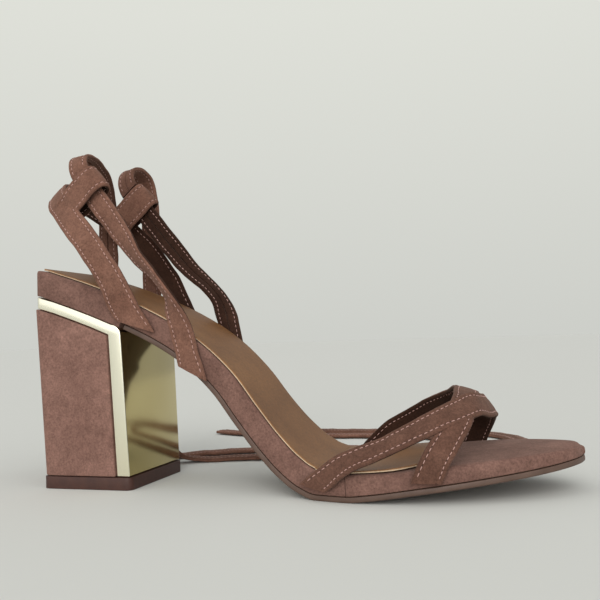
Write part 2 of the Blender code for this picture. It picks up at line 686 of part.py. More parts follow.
def free_strap(name, points, width, material, collection):
    """A strap through points that each carry the way across it and its width share."""
    track = thin_out(catmull(points, FINE_STEP))
    rings = strap_rings(track[:, :3], track[:, 3:6], track[:, 6] * width, STRAP_THICKNESS)
    return loft(name, rings, material, collection)


def make_loop(name, side, material, collection):
    """A folded tab on the sling that leaves a slot for the lace."""
    root = Vector((LOOP_ALONG * SHOE_LENGTH, side * LOOP_ACROSS * BALL_WIDTH, LOOP_UP * SEAT_HEIGHT))
    back = RULING.cross(Vector((0.0, 1.0, 0.0)))
    turn = math.radians(LOOP_TURN)
    out = Vector((0.0, side * math.cos(turn), 0.0)) - back * math.sin(turn)
    way = RULING.cross(out).normalized()
    half_gap = (LOOP_GAP + LOOP_PLY) / 2
    profile = [(reach, -gap) for reach, gap in LOOP_OUTLINE]
    profile += [(reach, gap) for reach, gap in LOOP_OUTLINE[-2::-1]]
    centres = [root + RULING * reach * LOOP_REACH + out * gap * half_gap for reach, gap in profile]
    track = catmull([tuple(c) for c in centres], LOOP_STEP)
    ways = [way] * len(track)
    widths = [LOOP_WIDTH] * len(track)
    return loft(name, strap_rings(track, ways, widths, LOOP_PLY), material, collection)


def make_sling(material, collection):
    """The strap round the back of the heel with its two lace loops."""
    outer_half = free_points(SLING_ROWS, -1)
    inner_half = free_points(SLING_ROWS[:-1], 1)[::-1]
    sling = free_strap("heel_sling", outer_half + inner_half, SLING_WIDTH, material, collection)
    loops = [make_loop(f"loop_{side}", side, material, collection) for side in (-1, 1)]
    join(sling, loops)
    return sling


def make_laces(material, collection):
    """The ankle laces from the waist seam up through the loops."""
    for name, side in (("lace_outer", -1), ("lace_inner", 1)):
        free_strap(name, free_points(LACE_ROWS, side), LACE_WIDTH, material, collection)


def make_ties(material, collection):
    """The laces' free ends, which fall over the inner side and lie on the floor."""
    for name, rows in (("tie_outer", OUTER_TIE_ROWS), ("tie_inner", INNER_TIE_ROWS)):
        points = []
        for row in rows:
            cell = dict(zip(TIE_COLUMNS, row))
            z = max(cell["up"] * SEAT_HEIGHT, TIE_REST)
            place = (cell["along"] * SHOE_LENGTH, cell["across"] * BALL_WIDTH, z)
            points.append((*place, cell["way_x"], cell["way_y"], cell["way_z"], 1.0))
        free_strap(name, points, LACE_WIDTH, material, collection)


def centre_shoe(collection, left_out):
    """Put the shoe's middle over the origin, without its free ties."""
    corners = []
    for obj in collection.objects:
        if obj.name not in left_out:
            corners += [vertex.co.copy() for vertex in obj.data.vertices]
    low_x = min(c.x for c in corners)
    high_x = max(c.x for c in corners)
    low_y = min(c.y for c in corners)
    high_y = max(c.y for c in corners)
    holder = bpy.data.objects.new("shoe_frame", None)
    collection.objects.link(holder)
    holder.location = (-(low_x + high_x) / 2, -(low_y + high_y) / 2, 0.0)
    for obj in collection.objects:
        if obj is not holder:
            obj.parent = holder
    bpy.context.view_layer.update()


def main():
    clear_scene()
    collection = bpy.data.collections.new("lace_up_heeled_sandal")
    bpy.context.scene.collection.children.link(collection)
    materials = {
        "suede": make_material("suede", (0.27, 0.145, 0.125), 0.95),
        "gold": make_material("gold", (0.80, 0.70, 0.42), 0.12, 1.0),
        "sock": make_material("sock", (0.33, 0.20, 0.11), 0.42, 0.25),
        "rubber": make_material("rubber", (0.075, 0.030, 0.024), 0.5),
        "sole": make_material("sole", (0.11, 0.06, 0.045), 0.45),
    }
    make_outsole(materials["sole"], collection)
    make_footbed(materials["suede"], collection)
    make_toe_cover(materials["suede"], collection)
    make_insole(materials["sock"], collection)
    make_heel(materials, collection)
    make_toe_straps(materials["suede"], collection)
    make_sling(materials["suede"], collection)
    make_laces(materials["suede"], collection)
    make_ties(materials["suede"], collection)
    centre_shoe(collection, ("tie_outer", "tie_inner"))


main()
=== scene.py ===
"""Looks for the lace-up sandal on a block heel: suede straps with their stitching, padded sole,
metallic sock, gold-framed heel, free ties, floor, light and camera.
"""

import math

import bmesh
import bpy
import numpy as np
from mathutils import Matrix, Vector


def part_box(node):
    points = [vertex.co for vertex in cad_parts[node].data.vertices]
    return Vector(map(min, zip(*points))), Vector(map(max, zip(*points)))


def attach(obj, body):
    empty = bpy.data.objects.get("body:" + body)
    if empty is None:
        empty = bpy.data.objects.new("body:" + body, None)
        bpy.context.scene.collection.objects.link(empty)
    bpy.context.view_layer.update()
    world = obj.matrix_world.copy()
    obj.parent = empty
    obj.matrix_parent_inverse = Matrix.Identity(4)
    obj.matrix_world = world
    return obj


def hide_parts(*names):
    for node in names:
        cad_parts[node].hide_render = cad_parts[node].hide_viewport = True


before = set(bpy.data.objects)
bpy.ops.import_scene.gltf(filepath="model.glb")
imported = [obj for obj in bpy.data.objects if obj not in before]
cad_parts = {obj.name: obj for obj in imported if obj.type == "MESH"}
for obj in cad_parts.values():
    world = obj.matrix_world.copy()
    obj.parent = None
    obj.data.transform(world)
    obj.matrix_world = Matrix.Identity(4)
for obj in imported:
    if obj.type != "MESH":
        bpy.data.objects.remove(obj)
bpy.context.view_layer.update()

# From the shoe's own axes to the row frame: X starts at the back of the toplift
LIFT_LOW, LIFT_HIGH = (Vector(corner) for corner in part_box("toplift"))
SHIFT = Vector((LIFT_LOW.x, (LIFT_LOW.y + LIFT_HIGH.y) / 2, 0.0))

# Main sizes, in metres
SHOE_LENGTH = 0.2265
BALL_WIDTH = 0.0760
SEAT_HEIGHT = 0.0862
INSTEP_HEIGHT = 0.0600
CLEARANCE = 0.0003

# Sole and insole
BED_THICKNESS = 0.0118
OUTSOLE_THICKNESS = 0.0022
INSOLE_THICKNESS = 0.0009
INSOLE_INSET = 0.0014
INSOLE_SEAT_INSET = 0.0030
INSOLE_SEAT_RUN = 0.30 * SHOE_LENGTH
INSOLE_FRONT = 0.7815 * SHOE_LENGTH
INSOLE_NOSE = 0.290 * BALL_WIDTH
BED_EDGE_ROUND = 0.0016
TOE_EDGE_ROUND = 0.0034
TOE_CROWN = 0.0012
TOE_COVER_BACK = 0.6137 * SHOE_LENGTH
TOE_PADDING_RUN = 0.265 * SHOE_LENGTH
PADDING_SWELL = 0.0003
OUTSOLE_LIP = 0.0005
OUTSOLE_INSET = 0.0005
OUTSOLE_START = 0.0018
FOOT_CHAMFER = 0.0005
SEAT_CURVE_RUN = 0.221 * SHOE_LENGTH

# Heel
HEEL_FOOT_LENGTH = 0.0428
HEEL_FOOT_WIDTH = 0.0512
HEEL_TOP_WIDTH = 0.0545
HEEL_CORNER = 0.0030
TOPLIFT_SPREAD = 0.0002
TOPLIFT_THICKNESS = 0.0054
BREAST_TOP = 0.0392
BREAST_FOOT = 0.0418
HEEL_BACK_TOP = -0.0030
HEEL_BACK_FOOT = 0.0004
GOLD_BAND = 0.0055
GOLD_STRIP = 0.0060
GOLD_RECESS = 0.0006
GOLD_CORNER = 0.0030

# Straps
TOE_STRAP_WIDTH = 0.0104
SLING_WIDTH = 0.0118
LACE_WIDTH = 0.0100
STRAP_THICKNESS = 0.0021
LOOP_WIDTH = 0.0130
LOOP_REACH = 0.0228
LOOP_GAP = 0.0046
LOOP_PLY = 0.0018
INSTEP_SQUARENESS = 2.4
STRAP_STANDOFF = 0.0017
CROSSING_LIFT = 0.0016
CROSSING_PLACE = 0.800 * SHOE_LENGTH
CROSSING_REACH = 0.0090
TIE_REST = 0.0016

# The sole along the shoe: place as a share of SHOE_LENGTH, height of its underside as a share of
# SEAT_HEIGHT, thickness as a share of BED_THICKNESS, and the reach to the outer and inner side
# as shares of BALL_WIDTH.
SOLE_COLUMNS = ("along", "under", "thick", "outer", "inner")
SOLE_ROWS = (
    (-0.0155, 0.992, 0.910, 0.290, 0.290),
    (-0.0125, 0.985, 0.940, 0.325, 0.325),
    (0.0000, 0.978, 0.975, 0.353, 0.353),
    (0.0400, 0.942, 0.990, 0.364, 0.364),
    (0.0900, 0.895, 0.985, 0.366, 0.366),
    (0.1770, 0.800, 0.970, 0.362, 0.360),
    (0.2430, 0.712, 0.970, 0.350, 0.342),
    (0.3000, 0.612, 0.975, 0.338, 0.322),
    (0.3530, 0.480, 0.980, 0.332, 0.308),
    (0.3980, 0.326, 0.980, 0.340, 0.308),
    (0.4420, 0.190, 0.980, 0.362, 0.322),
    (0.4860, 0.084, 0.980, 0.394, 0.350),
    (0.5220, 0.026, 0.975, 0.422, 0.378),
    (0.5560, 0.000, 0.960, 0.450, 0.406),
    (0.6090, 0.000, 0.920, 0.486, 0.446),
    (0.6500, 0.011, 0.860, 0.500, 0.472),
    (0.6900, 0.026, 0.800, 0.502, 0.488),
    (0.7280, 0.041, 0.765, 0.492, 0.496),
    (0.7860, 0.062, 0.750, 0.462, 0.494),
    (0.8390, 0.080, 0.720, 0.408, 0.466),
    (0.8900, 0.097, 0.680, 0.334, 0.412),
    (0.9320, 0.111, 0.640, 0.252, 0.342),
    (0.9630, 0.122, 0.600, 0.170, 0.268),
    (0.9840, 0.130, 0.550, 0.092, 0.194),
    (0.9940, 0.133, 0.480, 0.030, 0.132),
    (0.9985, 0.135, 0.380, -0.018, 0.084),
)

# How the toe cover and the outsole end at the tip: the last section's size, and how far ahead.
TOE_NOSE_STEPS = ((0.92, 0.0004), (0.70, 0.0007), (0.40, 0.0009))
OUTSOLE_NOSE_STEPS = ((0.85, 0.0003), (0.50, 0.0005))

# The instep that the toe straps lie over: its height above the sole as a share of INSTEP_HEIGHT.
INSTEP_COLUMNS = ("along", "high")
INSTEP_ROWS = (
    (0.50, 0.93),
    (0.58, 0.79),
    (0.66, 0.65),
    (0.74, 0.58),
    (0.79, 0.54),
    (0.82, 0.48),
    (0.84, 0.37),
    (0.86, 0.25),
)

# Toe straps on that instep: place along, angle round it from the outer side (0) over the top (90)
# to the inner side (180), turn of the edge-to-edge line in the strap's face, lean of that line out of
# the face (the worn twist), and width as a share of TOE_STRAP_WIDTH.
TOE_STRAP_COLUMNS = ("along", "angle", "turn", "lean", "wide")
OVER_STRAP_ROWS = (
    (0.5545, 2.0, 38.0, 0.0, 1.12),
    (0.5850, 7.2, 22.0, 10.0, 0.98),
    (0.6220, 15.0, 6.0, 24.0, 0.93),
    (0.6810, 23.0, 0.0, 28.0, 0.95),
    (0.7350, 33.5, 0.0, 14.0, 0.98),
    (0.7780, 43.5, 0.0, 0.0, 1.02),
    (0.8080, 55.0, 0.0, -5.0, 1.06),
    (0.8270, 71.0, 0.0, -4.0, 1.06),
    (0.8355, 92.0, 0.0, 0.0, 1.04),
    (0.8345, 118.0, 0.0, 0.0, 1.0),
    (0.8250, 143.0, 0.0, 0.0, 1.0),
    (0.8110, 161.0, -8.0, 0.0, 1.0),
    (0.7950, 176.5, -24.0, 0.0, 1.1),
)
UNDER_STRAP_ROWS = (
    (0.7480, 2.0, 20.0, 0.0, 1.12),
    (0.7610, 11.0, 10.0, 0.0, 1.05),
    (0.7810, 24.5, 0.0, 0.0, 1.0),
    (0.7980, 41.0, 0.0, 0.0, 1.0),
    (0.8050, 58.0, 0.0, 0.0, 1.0),
    (0.8060, 73.0, 0.0, 0.0, 1.0),
    (0.8010, 95.0, 0.0, 0.0, 1.0),
    (0.7800, 117.5, 0.0, 0.0, 1.0),
    (0.7400, 134.0, 0.0, 0.0, 1.0),
    (0.6880, 149.0, 0.0, 0.0, 1.0),
    (0.6420, 160.0, 0.0, 0.0, 1.0),
    (0.6070, 170.0, -14.0, 0.0, 1.05),
    (0.5850, 177.5, -34.0, 0.0, 1.12),
)

# Straps round the heel and ankle, on the outer side: place along as a share of SHOE_LENGTH, across
# as a share of BALL_WIDTH, up as a share of SEAT_HEIGHT, the way across the strap, and its width
# as a share of its own width. The inner side is its mirror image.
STRAP_COLUMNS = ("along", "across", "up", "way_x", "way_y", "way_z", "wide")
SLING_ROWS = (
    (0.2120, 0.375, 0.805, 0.95, 0.06, -0.30, 1.50),
    (0.1890, 0.379, 0.900, 0.92, 0.05, 0.10, 1.18),
    (0.1560, 0.397, 1.080, 0.82, 0.05, 0.52, 1.0),
    (0.1130, 0.392, 1.240, 0.76, 0.05, 0.65, 1.0),
    (0.0680, 0.352, 1.372, 0.75, 0.03, 0.66, 1.0),
    (0.0260, 0.262, 1.472, 0.75, 0.00, 0.66, 1.0),
    (-0.0010, 0.140, 1.536, 0.75, 0.00, 0.66, 1.0),
    (-0.0100, 0.000, 1.558, 0.75, 0.00, 0.66, 1.0),
)
LACE_ROWS = (
    (0.3215, 0.355, 0.572, 0.88, 0.03, -0.46, 1.42),
    (0.3140, 0.357, 0.655, 0.98, 0.02, -0.18, 1.12),
    (0.3065, 0.360, 0.735, 0.99, 0.00, -0.06, 1.08),
    (0.2990, 0.370, 0.810, 0.97, -0.06, 0.02, 1.06),
    (0.2910, 0.381, 0.880, 0.86, -0.42, 0.07, 1.03),
    (0.2790, 0.384, 0.955, 0.58, -0.78, 0.14, 1.0),
    (0.2510, 0.360, 1.045, 0.42, -0.84, 0.32, 1.0),
    (0.2080, 0.336, 1.160, 0.52, -0.66, 0.52, 1.0),
    (0.1720, 0.318, 1.285, 0.72, -0.25, 0.62, 1.0),
    (0.1290, 0.309, 1.431, 0.75, 0.00, 0.66, 1.0),
    (0.1040, 0.302, 1.526, 0.75, 0.00, 0.66, 1.0),
    (0.0850, 0.292, 1.598, 0.75, 0.00, 0.66, 1.0),
)

# The lace loops: their root in the same shares, their turn, and their side outline as a share of
# LOOP_REACH out from the root and of half the slot across it, back to the root mirrored.
LOOP_ALONG = 0.052
LOOP_ACROSS = 0.302
LOOP_UP = 1.405
LOOP_TURN = -10.0
LOOP_OUTLINE = ((0.0, 0.35), (0.16, 0.55), (0.32, 1.0), (0.72, 1.1), (0.93, 0.9), (1.0, 0.0))
RULING = Vector((0.75, 0.0, 0.66)).normalized()

# The free ties' routes, in the same shares. Up is 0 where a tie lies on the floor.
TIE_COLUMNS = ("along", "across", "up", "way_x", "way_y", "way_z")
OUTER_TIE_ROWS = (
    (0.0839, -0.2908, 1.6021, 0.75, 0.0, 0.66),
    (0.0781, -0.2882, 1.6299, 0.78, 0.0, 0.62),
    (0.0720, -0.2658, 1.6682, 0.85, 0.1, 0.5),
    (0.0649, -0.2039, 1.7053, 0.95, 0.1, 0.2),
    (0.0574, -0.1053, 1.7216, 0.99, 0.1, 0.0),
    (0.0486, 0.0395, 1.7053, 0.99, 0.1, 0.0),
    (0.0389, 0.1711, 1.6566, 0.99, 0.1, 0.0),
    (0.0243, 0.3000, 1.5603, 0.99, 0.1, 0.0),
    (0.0097, 0.3947, 1.3689, 1.0, 0.05, 0.0),
    (0.0018, 0.4408, 1.0441, 1.0, 0.0, 0.0),
    (0.0000, 0.4605, 0.6381, 1.0, 0.0, 0.0),
    (0.0044, 0.4934, 0.3016, 1.0, 0.0, 0.0),
    (0.0221, 0.5789, 0.0928, 0.93, -0.36, 0.0),
    (0.0662, 0.7368, 0.0000, 0.78, -0.62, 0.0),
    (0.1501, 0.9605, 0.0000, 0.64, -0.77, 0.0),
    (0.2649, 1.1711, 0.0000, 0.42, -0.9, 0.0),
    (0.3885, 1.2829, 0.0000, 0.16, -0.99, 0.0),
    (0.4989, 1.3158, 0.0000, 0.0, -1.0, 0.0),
    (0.5872, 1.3355, 0.0000, 0.2, -0.98, 0.0),
    (0.6711, 1.4539, 0.0000, 0.71, -0.71, 0.0),
    (0.7064, 1.6908, 0.0000, 1.0, 0.0, 0.0),
    (0.6711, 1.9276, 0.0000, 0.71, 0.71, 0.0),
    (0.5872, 2.0395, 0.0000, 0.15, 0.99, 0.0),
    (0.4768, 2.0395, 0.0000, -0.05, 1.0, 0.0),
    (0.3532, 2.0066, 0.0000, -0.05, 1.0, 0.0),
    (0.2296, 2.0197, 0.0000, 0.12, 0.99, 0.0),
    (0.1192, 2.1053, 0.0000, 0.35, 0.94, 0.0),
    (0.0221, 2.2368, 0.0000, 0.45, 0.9, 0.0),
)
INNER_TIE_ROWS = (
    (0.0839, 0.2908, 1.6021, 0.75, 0.0, 0.66),
    (0.0781, 0.2921, 1.6299, 0.78, 0.0, 0.62),
    (0.0733, 0.3026, 1.6763, 0.84, 0.0, 0.5),
    (0.0733, 0.3474, 1.7251, 0.93, -0.1, 0.25),
    (0.0777, 0.4276, 1.7378, 1.0, 0.0, 0.0),
    (0.0839, 0.5000, 1.6879, 1.0, 0.0, 0.0),
    (0.0883, 0.5368, 1.5835, 1.0, 0.0, 0.0),
    (0.0909, 0.5447, 1.3573, 1.0, 0.0, 0.0),
    (0.0909, 0.5368, 0.9861, 1.0, 0.0, 0.0),
    (0.0901, 0.5316, 0.5800, 1.0, 0.0, 0.0),
    (0.0971, 0.5500, 0.2668, 1.0, 0.0, 0.0),
    (0.1214, 0.6079, 0.0754, 0.9, -0.4, 0.0),
    (0.1766, 0.7039, 0.0000, 0.55, -0.83, 0.0),
    (0.2826, 0.8224, 0.0000, 0.25, -0.97, 0.0),
    (0.4194, 0.8816, 0.0000, 0.05, -1.0, 0.0),
    (0.5563, 0.8882, 0.0000, 0.0, -1.0, 0.0),
    (0.6755, 0.9342, 0.0000, 0.27, -0.96, 0.0),
    (0.7859, 1.0855, 0.0000, 0.62, -0.78, 0.0),
    (0.8609, 1.3553, 0.0000, 0.93, -0.37, 0.0),
    (0.8830, 1.6842, 0.0000, 1.0, 0.05, 0.0),
    (0.8477, 2.0132, 0.0000, 0.86, 0.5, 0.0),
    (0.7638, 2.2500, 0.0000, 0.5, 0.87, 0.0),
    (0.6490, 2.3487, 0.0000, 0.1, 0.99, 0.0),
    (0.5210, 2.3487, 0.0000, -0.04, 1.0, 0.0),
    (0.3885, 2.3224, 0.0000, -0.02, 1.0, 0.0),
    (0.2561, 2.3553, 0.0000, 0.2, 0.98, 0.0),
    (0.1369, 2.4737, 0.0000, 0.38, 0.93, 0.0),
)


def monotone(places, values):
    """A smooth function through rows that never overshoots them, so that level rows stay level."""
    places = np.array(places, float)
    values = np.array(values, float)
    gaps = np.diff(places)
    slopes = np.diff(values) / gaps
    bends = np.zeros(len(places))
    for i in range(1, len(places) - 1):
        if slopes[i - 1] * slopes[i] > 0:
            before = 2 * gaps[i] + gaps[i - 1]
            after = gaps[i] + 2 * gaps[i - 1]
            bends[i] = (before + after) / (before / slopes[i - 1] + after / slopes[i])
    bends[0] = slopes[0]
    bends[-1] = slopes[-1]

    def value(place):
        place = min(max(place, places[0]), places[-1])
        i = min(int(np.searchsorted(places, place, side="right")) - 1, len(gaps) - 1)
        t = (place - places[i]) / gaps[i]
        return float(
            values[i] * (1 + 2 * t) * (1 - t) ** 2
            + gaps[i] * bends[i] * t * (1 - t) ** 2
            + values[i + 1] * t * t * (3 - 2 * t)
            + gaps[i] * bends[i + 1] * t * t * (t - 1)
        )

    return value


def column(rows, names, name, size):
    """A smooth function of the place along the shoe, from one column of a table."""
    index = names.index(name)
    return monotone([row[0] * SHOE_LENGTH for row in rows], [row[index] * size for row in rows])


under = column(SOLE_ROWS, SOLE_COLUMNS, "under", SEAT_HEIGHT)
thick = column(SOLE_ROWS, SOLE_COLUMNS, "thick", BED_THICKNESS)
outer = column(SOLE_ROWS, SOLE_COLUMNS, "outer", BALL_WIDTH)
inner = column(SOLE_ROWS, SOLE_COLUMNS, "inner", BALL_WIDTH)
instep = column(INSTEP_ROWS, INSTEP_COLUMNS, "high", INSTEP_HEIGHT)
SEAT_BACK = SOLE_ROWS[0][0] * SHOE_LENGTH
TOE_TIP = SOLE_ROWS[-1][0] * SHOE_LENGTH


def sole_point(x, y, rise):
    """A point of the sole: rise is measured square to its underside, or straight up at the seat."""
    step = 0.0005
    slope = (under(x + step) - under(x - step)) / (2 * step)
    square = min(max((x - SEAT_BACK) / SEAT_CURVE_RUN, 0.0), 1.0)
    lean = -slope * square * square * (3 - 2 * square)
    size = math.hypot(lean, 1.0)
    return Vector((x + rise * lean / size, y, under(x) + rise / size))


def bed_bottom(x):
    """The rise of the footbed's underside: on the heel at the seat, on the outsole before it."""
    return 0.0 if x < BREAST_TOP else OUTSOLE_THICKNESS + CLEARANCE


def nose_rings(tip, steps):
    """Smaller copies of a last section, a little ahead of it, that round its blunt end off."""
    centre = sum(tip, Vector()) / len(tip)
    return [[centre + (p - centre) * size + Vector((ahead, 0.0, 0.0)) for p in tip] for size, ahead in steps]


def sock_inset(x):
    """How far inside the footbed's edge the sock ends: most round the heel seat."""
    share = min(max(1 - x / INSOLE_SEAT_RUN, 0.0), 1.0)
    return INSOLE_INSET + (INSOLE_SEAT_INSET - INSOLE_INSET) * share * share * (3 - 2 * share)


def heel_half_width(z, recess=0.0):
    """Half the heel's width at a height, tapering from the seat to the foot."""
    share = (z - TOPLIFT_THICKNESS) / (under(0.0) - TOPLIFT_THICKNESS)
    return (HEEL_FOOT_WIDTH + (HEEL_TOP_WIDTH - HEEL_FOOT_WIDTH) * share) / 2 - recess


def seat_line(drop, start, end, count=5):
    """Points along the underside of the seat, dropped by a thickness."""
    places = np.linspace(start, end, count)
    return [(float(x), under(float(x)) - drop) for x in places]


def breast_x(z, inset):
    """The heel's breast face at a height, set back by an inset."""
    share = (under(BREAST_TOP) - z) / (under(BREAST_TOP) - TOPLIFT_THICKNESS)
    return BREAST_TOP + (BREAST_FOOT - BREAST_TOP) * share - inset


def back_x(z):
    """The heel's back face at a height."""
    share = (under(0.0) - z) / (under(0.0) - TOPLIFT_THICKNESS)
    return HEEL_BACK_TOP + (HEEL_BACK_FOOT - HEEL_BACK_TOP) * share


def corner_arc(front, top, radius, count=4):
    """Points that round the frame's upper front corner down to its breast."""
    points = []
    for i in range(1, count + 1):
        angle = math.radians(90 * i / count)
        z = top - radius * (1 - math.cos(angle))
        points.append((front - radius * (1 - math.sin(angle)), z))
    return points


def catmull(points, step):
    """A smooth curve through points of any dimension, read at even steps of its first three."""
    points = [np.array(p, float) for p in points]
    ends = [2 * points[0] - points[1]] + points + [2 * points[-1] - points[-2]]
    dense = []
    for a, b, c, d in zip(ends, ends[1:], ends[2:], ends[3:]):
        for i in range(24):
            t = i / 24
            dense.append(
                0.5 * (2 * b + (c - a) * t + (2 * a - 5 * b + 4 * c - d) * t * t
                       + (3 * b - a - 3 * c + d) * t ** 3)
            )
    dense.append(points[-1])
    dense = np.array(dense)
    run = np.concatenate([[0.0], np.cumsum(np.linalg.norm(np.diff(dense[:, :3], axis=0), axis=1))])
    count = max(2, int(math.ceil(run[-1] / step)))
    marks = np.linspace(0.0, run[-1], count + 1)
    return np.stack([np.interp(marks, run, dense[:, k]) for k in range(dense.shape[1])], axis=1)


def instep_point(x, round_angle):
    """A point of the instep and its outward way, at an angle round from the outer side."""
    angle = math.radians(round_angle)
    power = 2 / INSTEP_SQUARENESS
    side = math.cos(angle)
    reach = (outer(x) if side > 0 else inner(x)) + STRAP_STANDOFF
    y = -math.copysign(abs(side) ** power, side) * reach
    base = under(x) + OUTSOLE_THICKNESS
    return Vector((x, y, base + abs(math.sin(angle)) ** power * instep(x)))


def free_points(rows, side):
    """Rows of a free strap as points and ways, on the outer (-1) or the inner (+1) side."""
    points = []
    for row in rows:
        cell = dict(zip(STRAP_COLUMNS, row))
        x = cell["along"] * SHOE_LENGTH
        y = side * cell["across"] * BALL_WIDTH
        z = cell["up"] * SEAT_HEIGHT
        points.append((x, y, z, cell["way_x"], -side * cell["way_y"], cell["way_z"], cell["wide"]))
    return points


# Camera, in the shoe's own axes
CAMERA_PLACE = Vector((0.2103, -0.3334, 0.0629))
CAMERA_YAW = 16.4
CAMERA_PITCH = -2.7
CAMERA_ROLL = 1.6
CAMERA_LENS = 48.02
SENSOR_WIDTH = 36.0

# Stitching and the finer form of a strap
STITCH_INSET = 0.0018
STITCH_PITCH = 0.0022
STITCH_LENGTH = 0.0015
THREAD_RADIUS = 0.00018
THREAD_SIDES = 6
HOLE_RADIUS = 1.6 * THREAD_RADIUS
GROOVE_DEPTH = 0.00022
GROOVE_HALF = 0.0006
PUFF = 0.00016
SEAM_HALF = 0.00035
SEAM_DEPTH = 0.0007
FINE_STRAP_STEP = 0.0011
WEAR_WAVE = 0.00008
WEAR_SWAY = 0.00012
WEAR_WIDTH = 0.012
WEAR_FADE = 8
SCENE_THICKNESS = 0.9 * STRAP_THICKNESS
TIE_FLOOR = SCENE_THICKNESS / 2 + PUFF + 0.0002

# How a strap's edge rounds: inset from the side, and share of the half thickness
EDGE_STEPS = ((0.0, 0.0), (0.0001, 0.5), (0.0004, 0.88), (0.0009, 1.0))

# A stitch along its length: share of it, share of THREAD_RADIUS, and rise as a share of that
THREAD_STEPS = ((0.14, 0.75, 0.2), (0.5, 1.0, 0.75), (0.86, 0.75, 0.2))

# The gold frame's gap to the suede, and its rounded upper corner
BAND_GAP = 0.0004
FRAME_CORNER = 1.5 * GOLD_CORNER

# Material slots of a strap
SUEDE_SLOT = 0
# Back faces: the lining's browner tone with painted shade on top.
LINING_SHADE_SLOT = 1
THREAD_SLOT = 2
HOLE_SLOT = 3


def make_camera():
    """The photograph's viewpoint."""
    yaw, pitch, roll = (math.radians(a) for a in (CAMERA_YAW, CAMERA_PITCH, CAMERA_ROLL))
    right = Vector((math.cos(yaw), math.sin(yaw), 0.0))
    ahead = Vector((
        -math.sin(yaw) * math.cos(pitch),
        math.cos(yaw) * math.cos(pitch),
        -math.sin(pitch),
    ))
    up = right.cross(ahead)
    across = right * math.cos(roll) - up * math.sin(roll)
    upward = right * math.sin(roll) + up * math.cos(roll)
    camera = bpy.data.objects.new("photo_camera", bpy.data.cameras.new("photo_camera"))
    bpy.context.scene.collection.objects.link(camera)
    camera.data.lens = CAMERA_LENS
    camera.data.sensor_width = SENSOR_WIDTH
    camera.data.clip_start = 0.01
    camera.data.clip_end = 50.0
    turn = Matrix((across, upward, -ahead)).transposed().to_4x4()
    camera.matrix_world = Matrix.Translation(CAMERA_PLACE + SHIFT) @ turn
    bpy.context.scene.camera = camera
    return camera


class Shape:
    """Vertices and faces gathered for one piece, with a material slot for each face."""

    def __init__(self):
        self.points = []
        self.faces = []
        self.slots = []

    def add(self, points, faces, slot):
        """Add points and faces that count from the first of them."""
        base = len(self.points)
        self.points += [Vector(p) for p in points]
        self.faces += [tuple(base + i for i in face) for face in faces]
        self.slots += [slot] * len(faces) if isinstance(slot, int) else list(slot)

    def loft(self, rings, slot=0, slot_of=None):
        """Skin rings of equal count into one closed body."""
        count = len(rings[0])
        points = [p for ring in rings for p in ring]
        faces = []
        slots = []
        for k in range(len(rings) - 1):
            for i in range(count):
                j = (i + 1) % count
                faces.append((k * count + i, k * count + j, (k + 1) * count + j, (k + 1) * count + i))
                slots.append(slot_of(i) if slot_of else slot)
        faces.append(tuple(range(count))[::-1])
        faces.append(tuple((len(rings) - 1) * count + i for i in range(count)))
        slots += [slot, slot]
        self.add(points, faces, slots)

    def finish(self, name, materials, smooth_angle=50.0):
        """One object in the row frame that rides on the body."""
        mesh = bpy.data.meshes.new(name)
        mesh.from_pydata([p + SHIFT for p in self.points], [], self.faces)
        for material in materials:
            mesh.materials.append(material)
        mesh.polygons.foreach_set("material_index", self.slots)
        mesh.update()
        bm = bmesh.new()
        bm.from_mesh(mesh)
        bmesh.ops.recalc_face_normals(bm, faces=bm.faces)
        bm.to_mesh(mesh)
        bm.free()
        mesh.shade_smooth()
        mesh.set_sharp_from_angle(angle=math.radians(smooth_angle))
        obj = bpy.data.objects.new(name, mesh)
        bpy.context.scene.collection.objects.link(obj)
        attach(obj, "root")
        return obj


def strap_profile(half, deep, back_seam):
    """One section of a stitched strap as (across, out) points, from one edge over the front."""
    line = half - STITCH_INSET
    upper = [(half - inset, deep * share) for inset, share in EDGE_STEPS]
    upper += [
        (line + GROOVE_HALF, deep),
        (line, deep - GROOVE_DEPTH),
        (line - GROOVE_HALF, deep),
        (line * 0.5, deep + PUFF),
    ]
    front = upper + [(0.0, deep + PUFF)] + [(-a, b) for a, b in upper[:0:-1]]
    back = [(a, -b) for a, b in upper[:-1]]
    if back_seam:
        back += [(SEAM_HALF * 3, -deep), (SEAM_HALF, -deep + 0.0001)]
        middle = (0.0, -deep + SEAM_DEPTH)
    else:
        back += [(line * 0.5, -deep)]
        middle = (0.0, -deep)
    under_side = [(-half, 0.0)] + [(-a, b) for a, b in back[1:]] + [middle] + back[:0:-1]
    return front, under_side


def strap_frames(centres, ways):
    """Run direction, way across and outward face at each centre."""
    frames = []
    for i, centre in enumerate(centres):
        ahead = centres[min(i + 1, len(centres) - 1)] - centres[max(i - 1, 0)]
        way = ways[i].normalized()
        face = ahead.cross(way).normalized()
        frames.append((centre, ahead.normalized(), way, face))
    return frames


def worn(frames, widths):
    """The slight waves and uneven width of a worn suede strap, none at its ends."""
    count = len(frames)
    waved = []
    uneven = []
    for i, ((centre, ahead, way, face), width) in enumerate(zip(frames, widths)):
        run = i * FINE_STRAP_STEP
        ease = min(1.0, i / WEAR_FADE, (count - 1 - i) / WEAR_FADE)
        wave = math.sin(run / 0.0025 + 0.7) + 0.6 * math.sin(run / 0.0011 + 2.1)
        lean = math.sin(run / 0.0034 + 1.3)
        shift = way * (WEAR_SWAY * ease * lean) + face * (WEAR_WAVE * ease * wave)
        waved.append((centre + shift, ahead, way, face))
        uneven.append(width * (1 + WEAR_WIDTH * ease * math.sin(run / 0.0019)))
    return waved, uneven


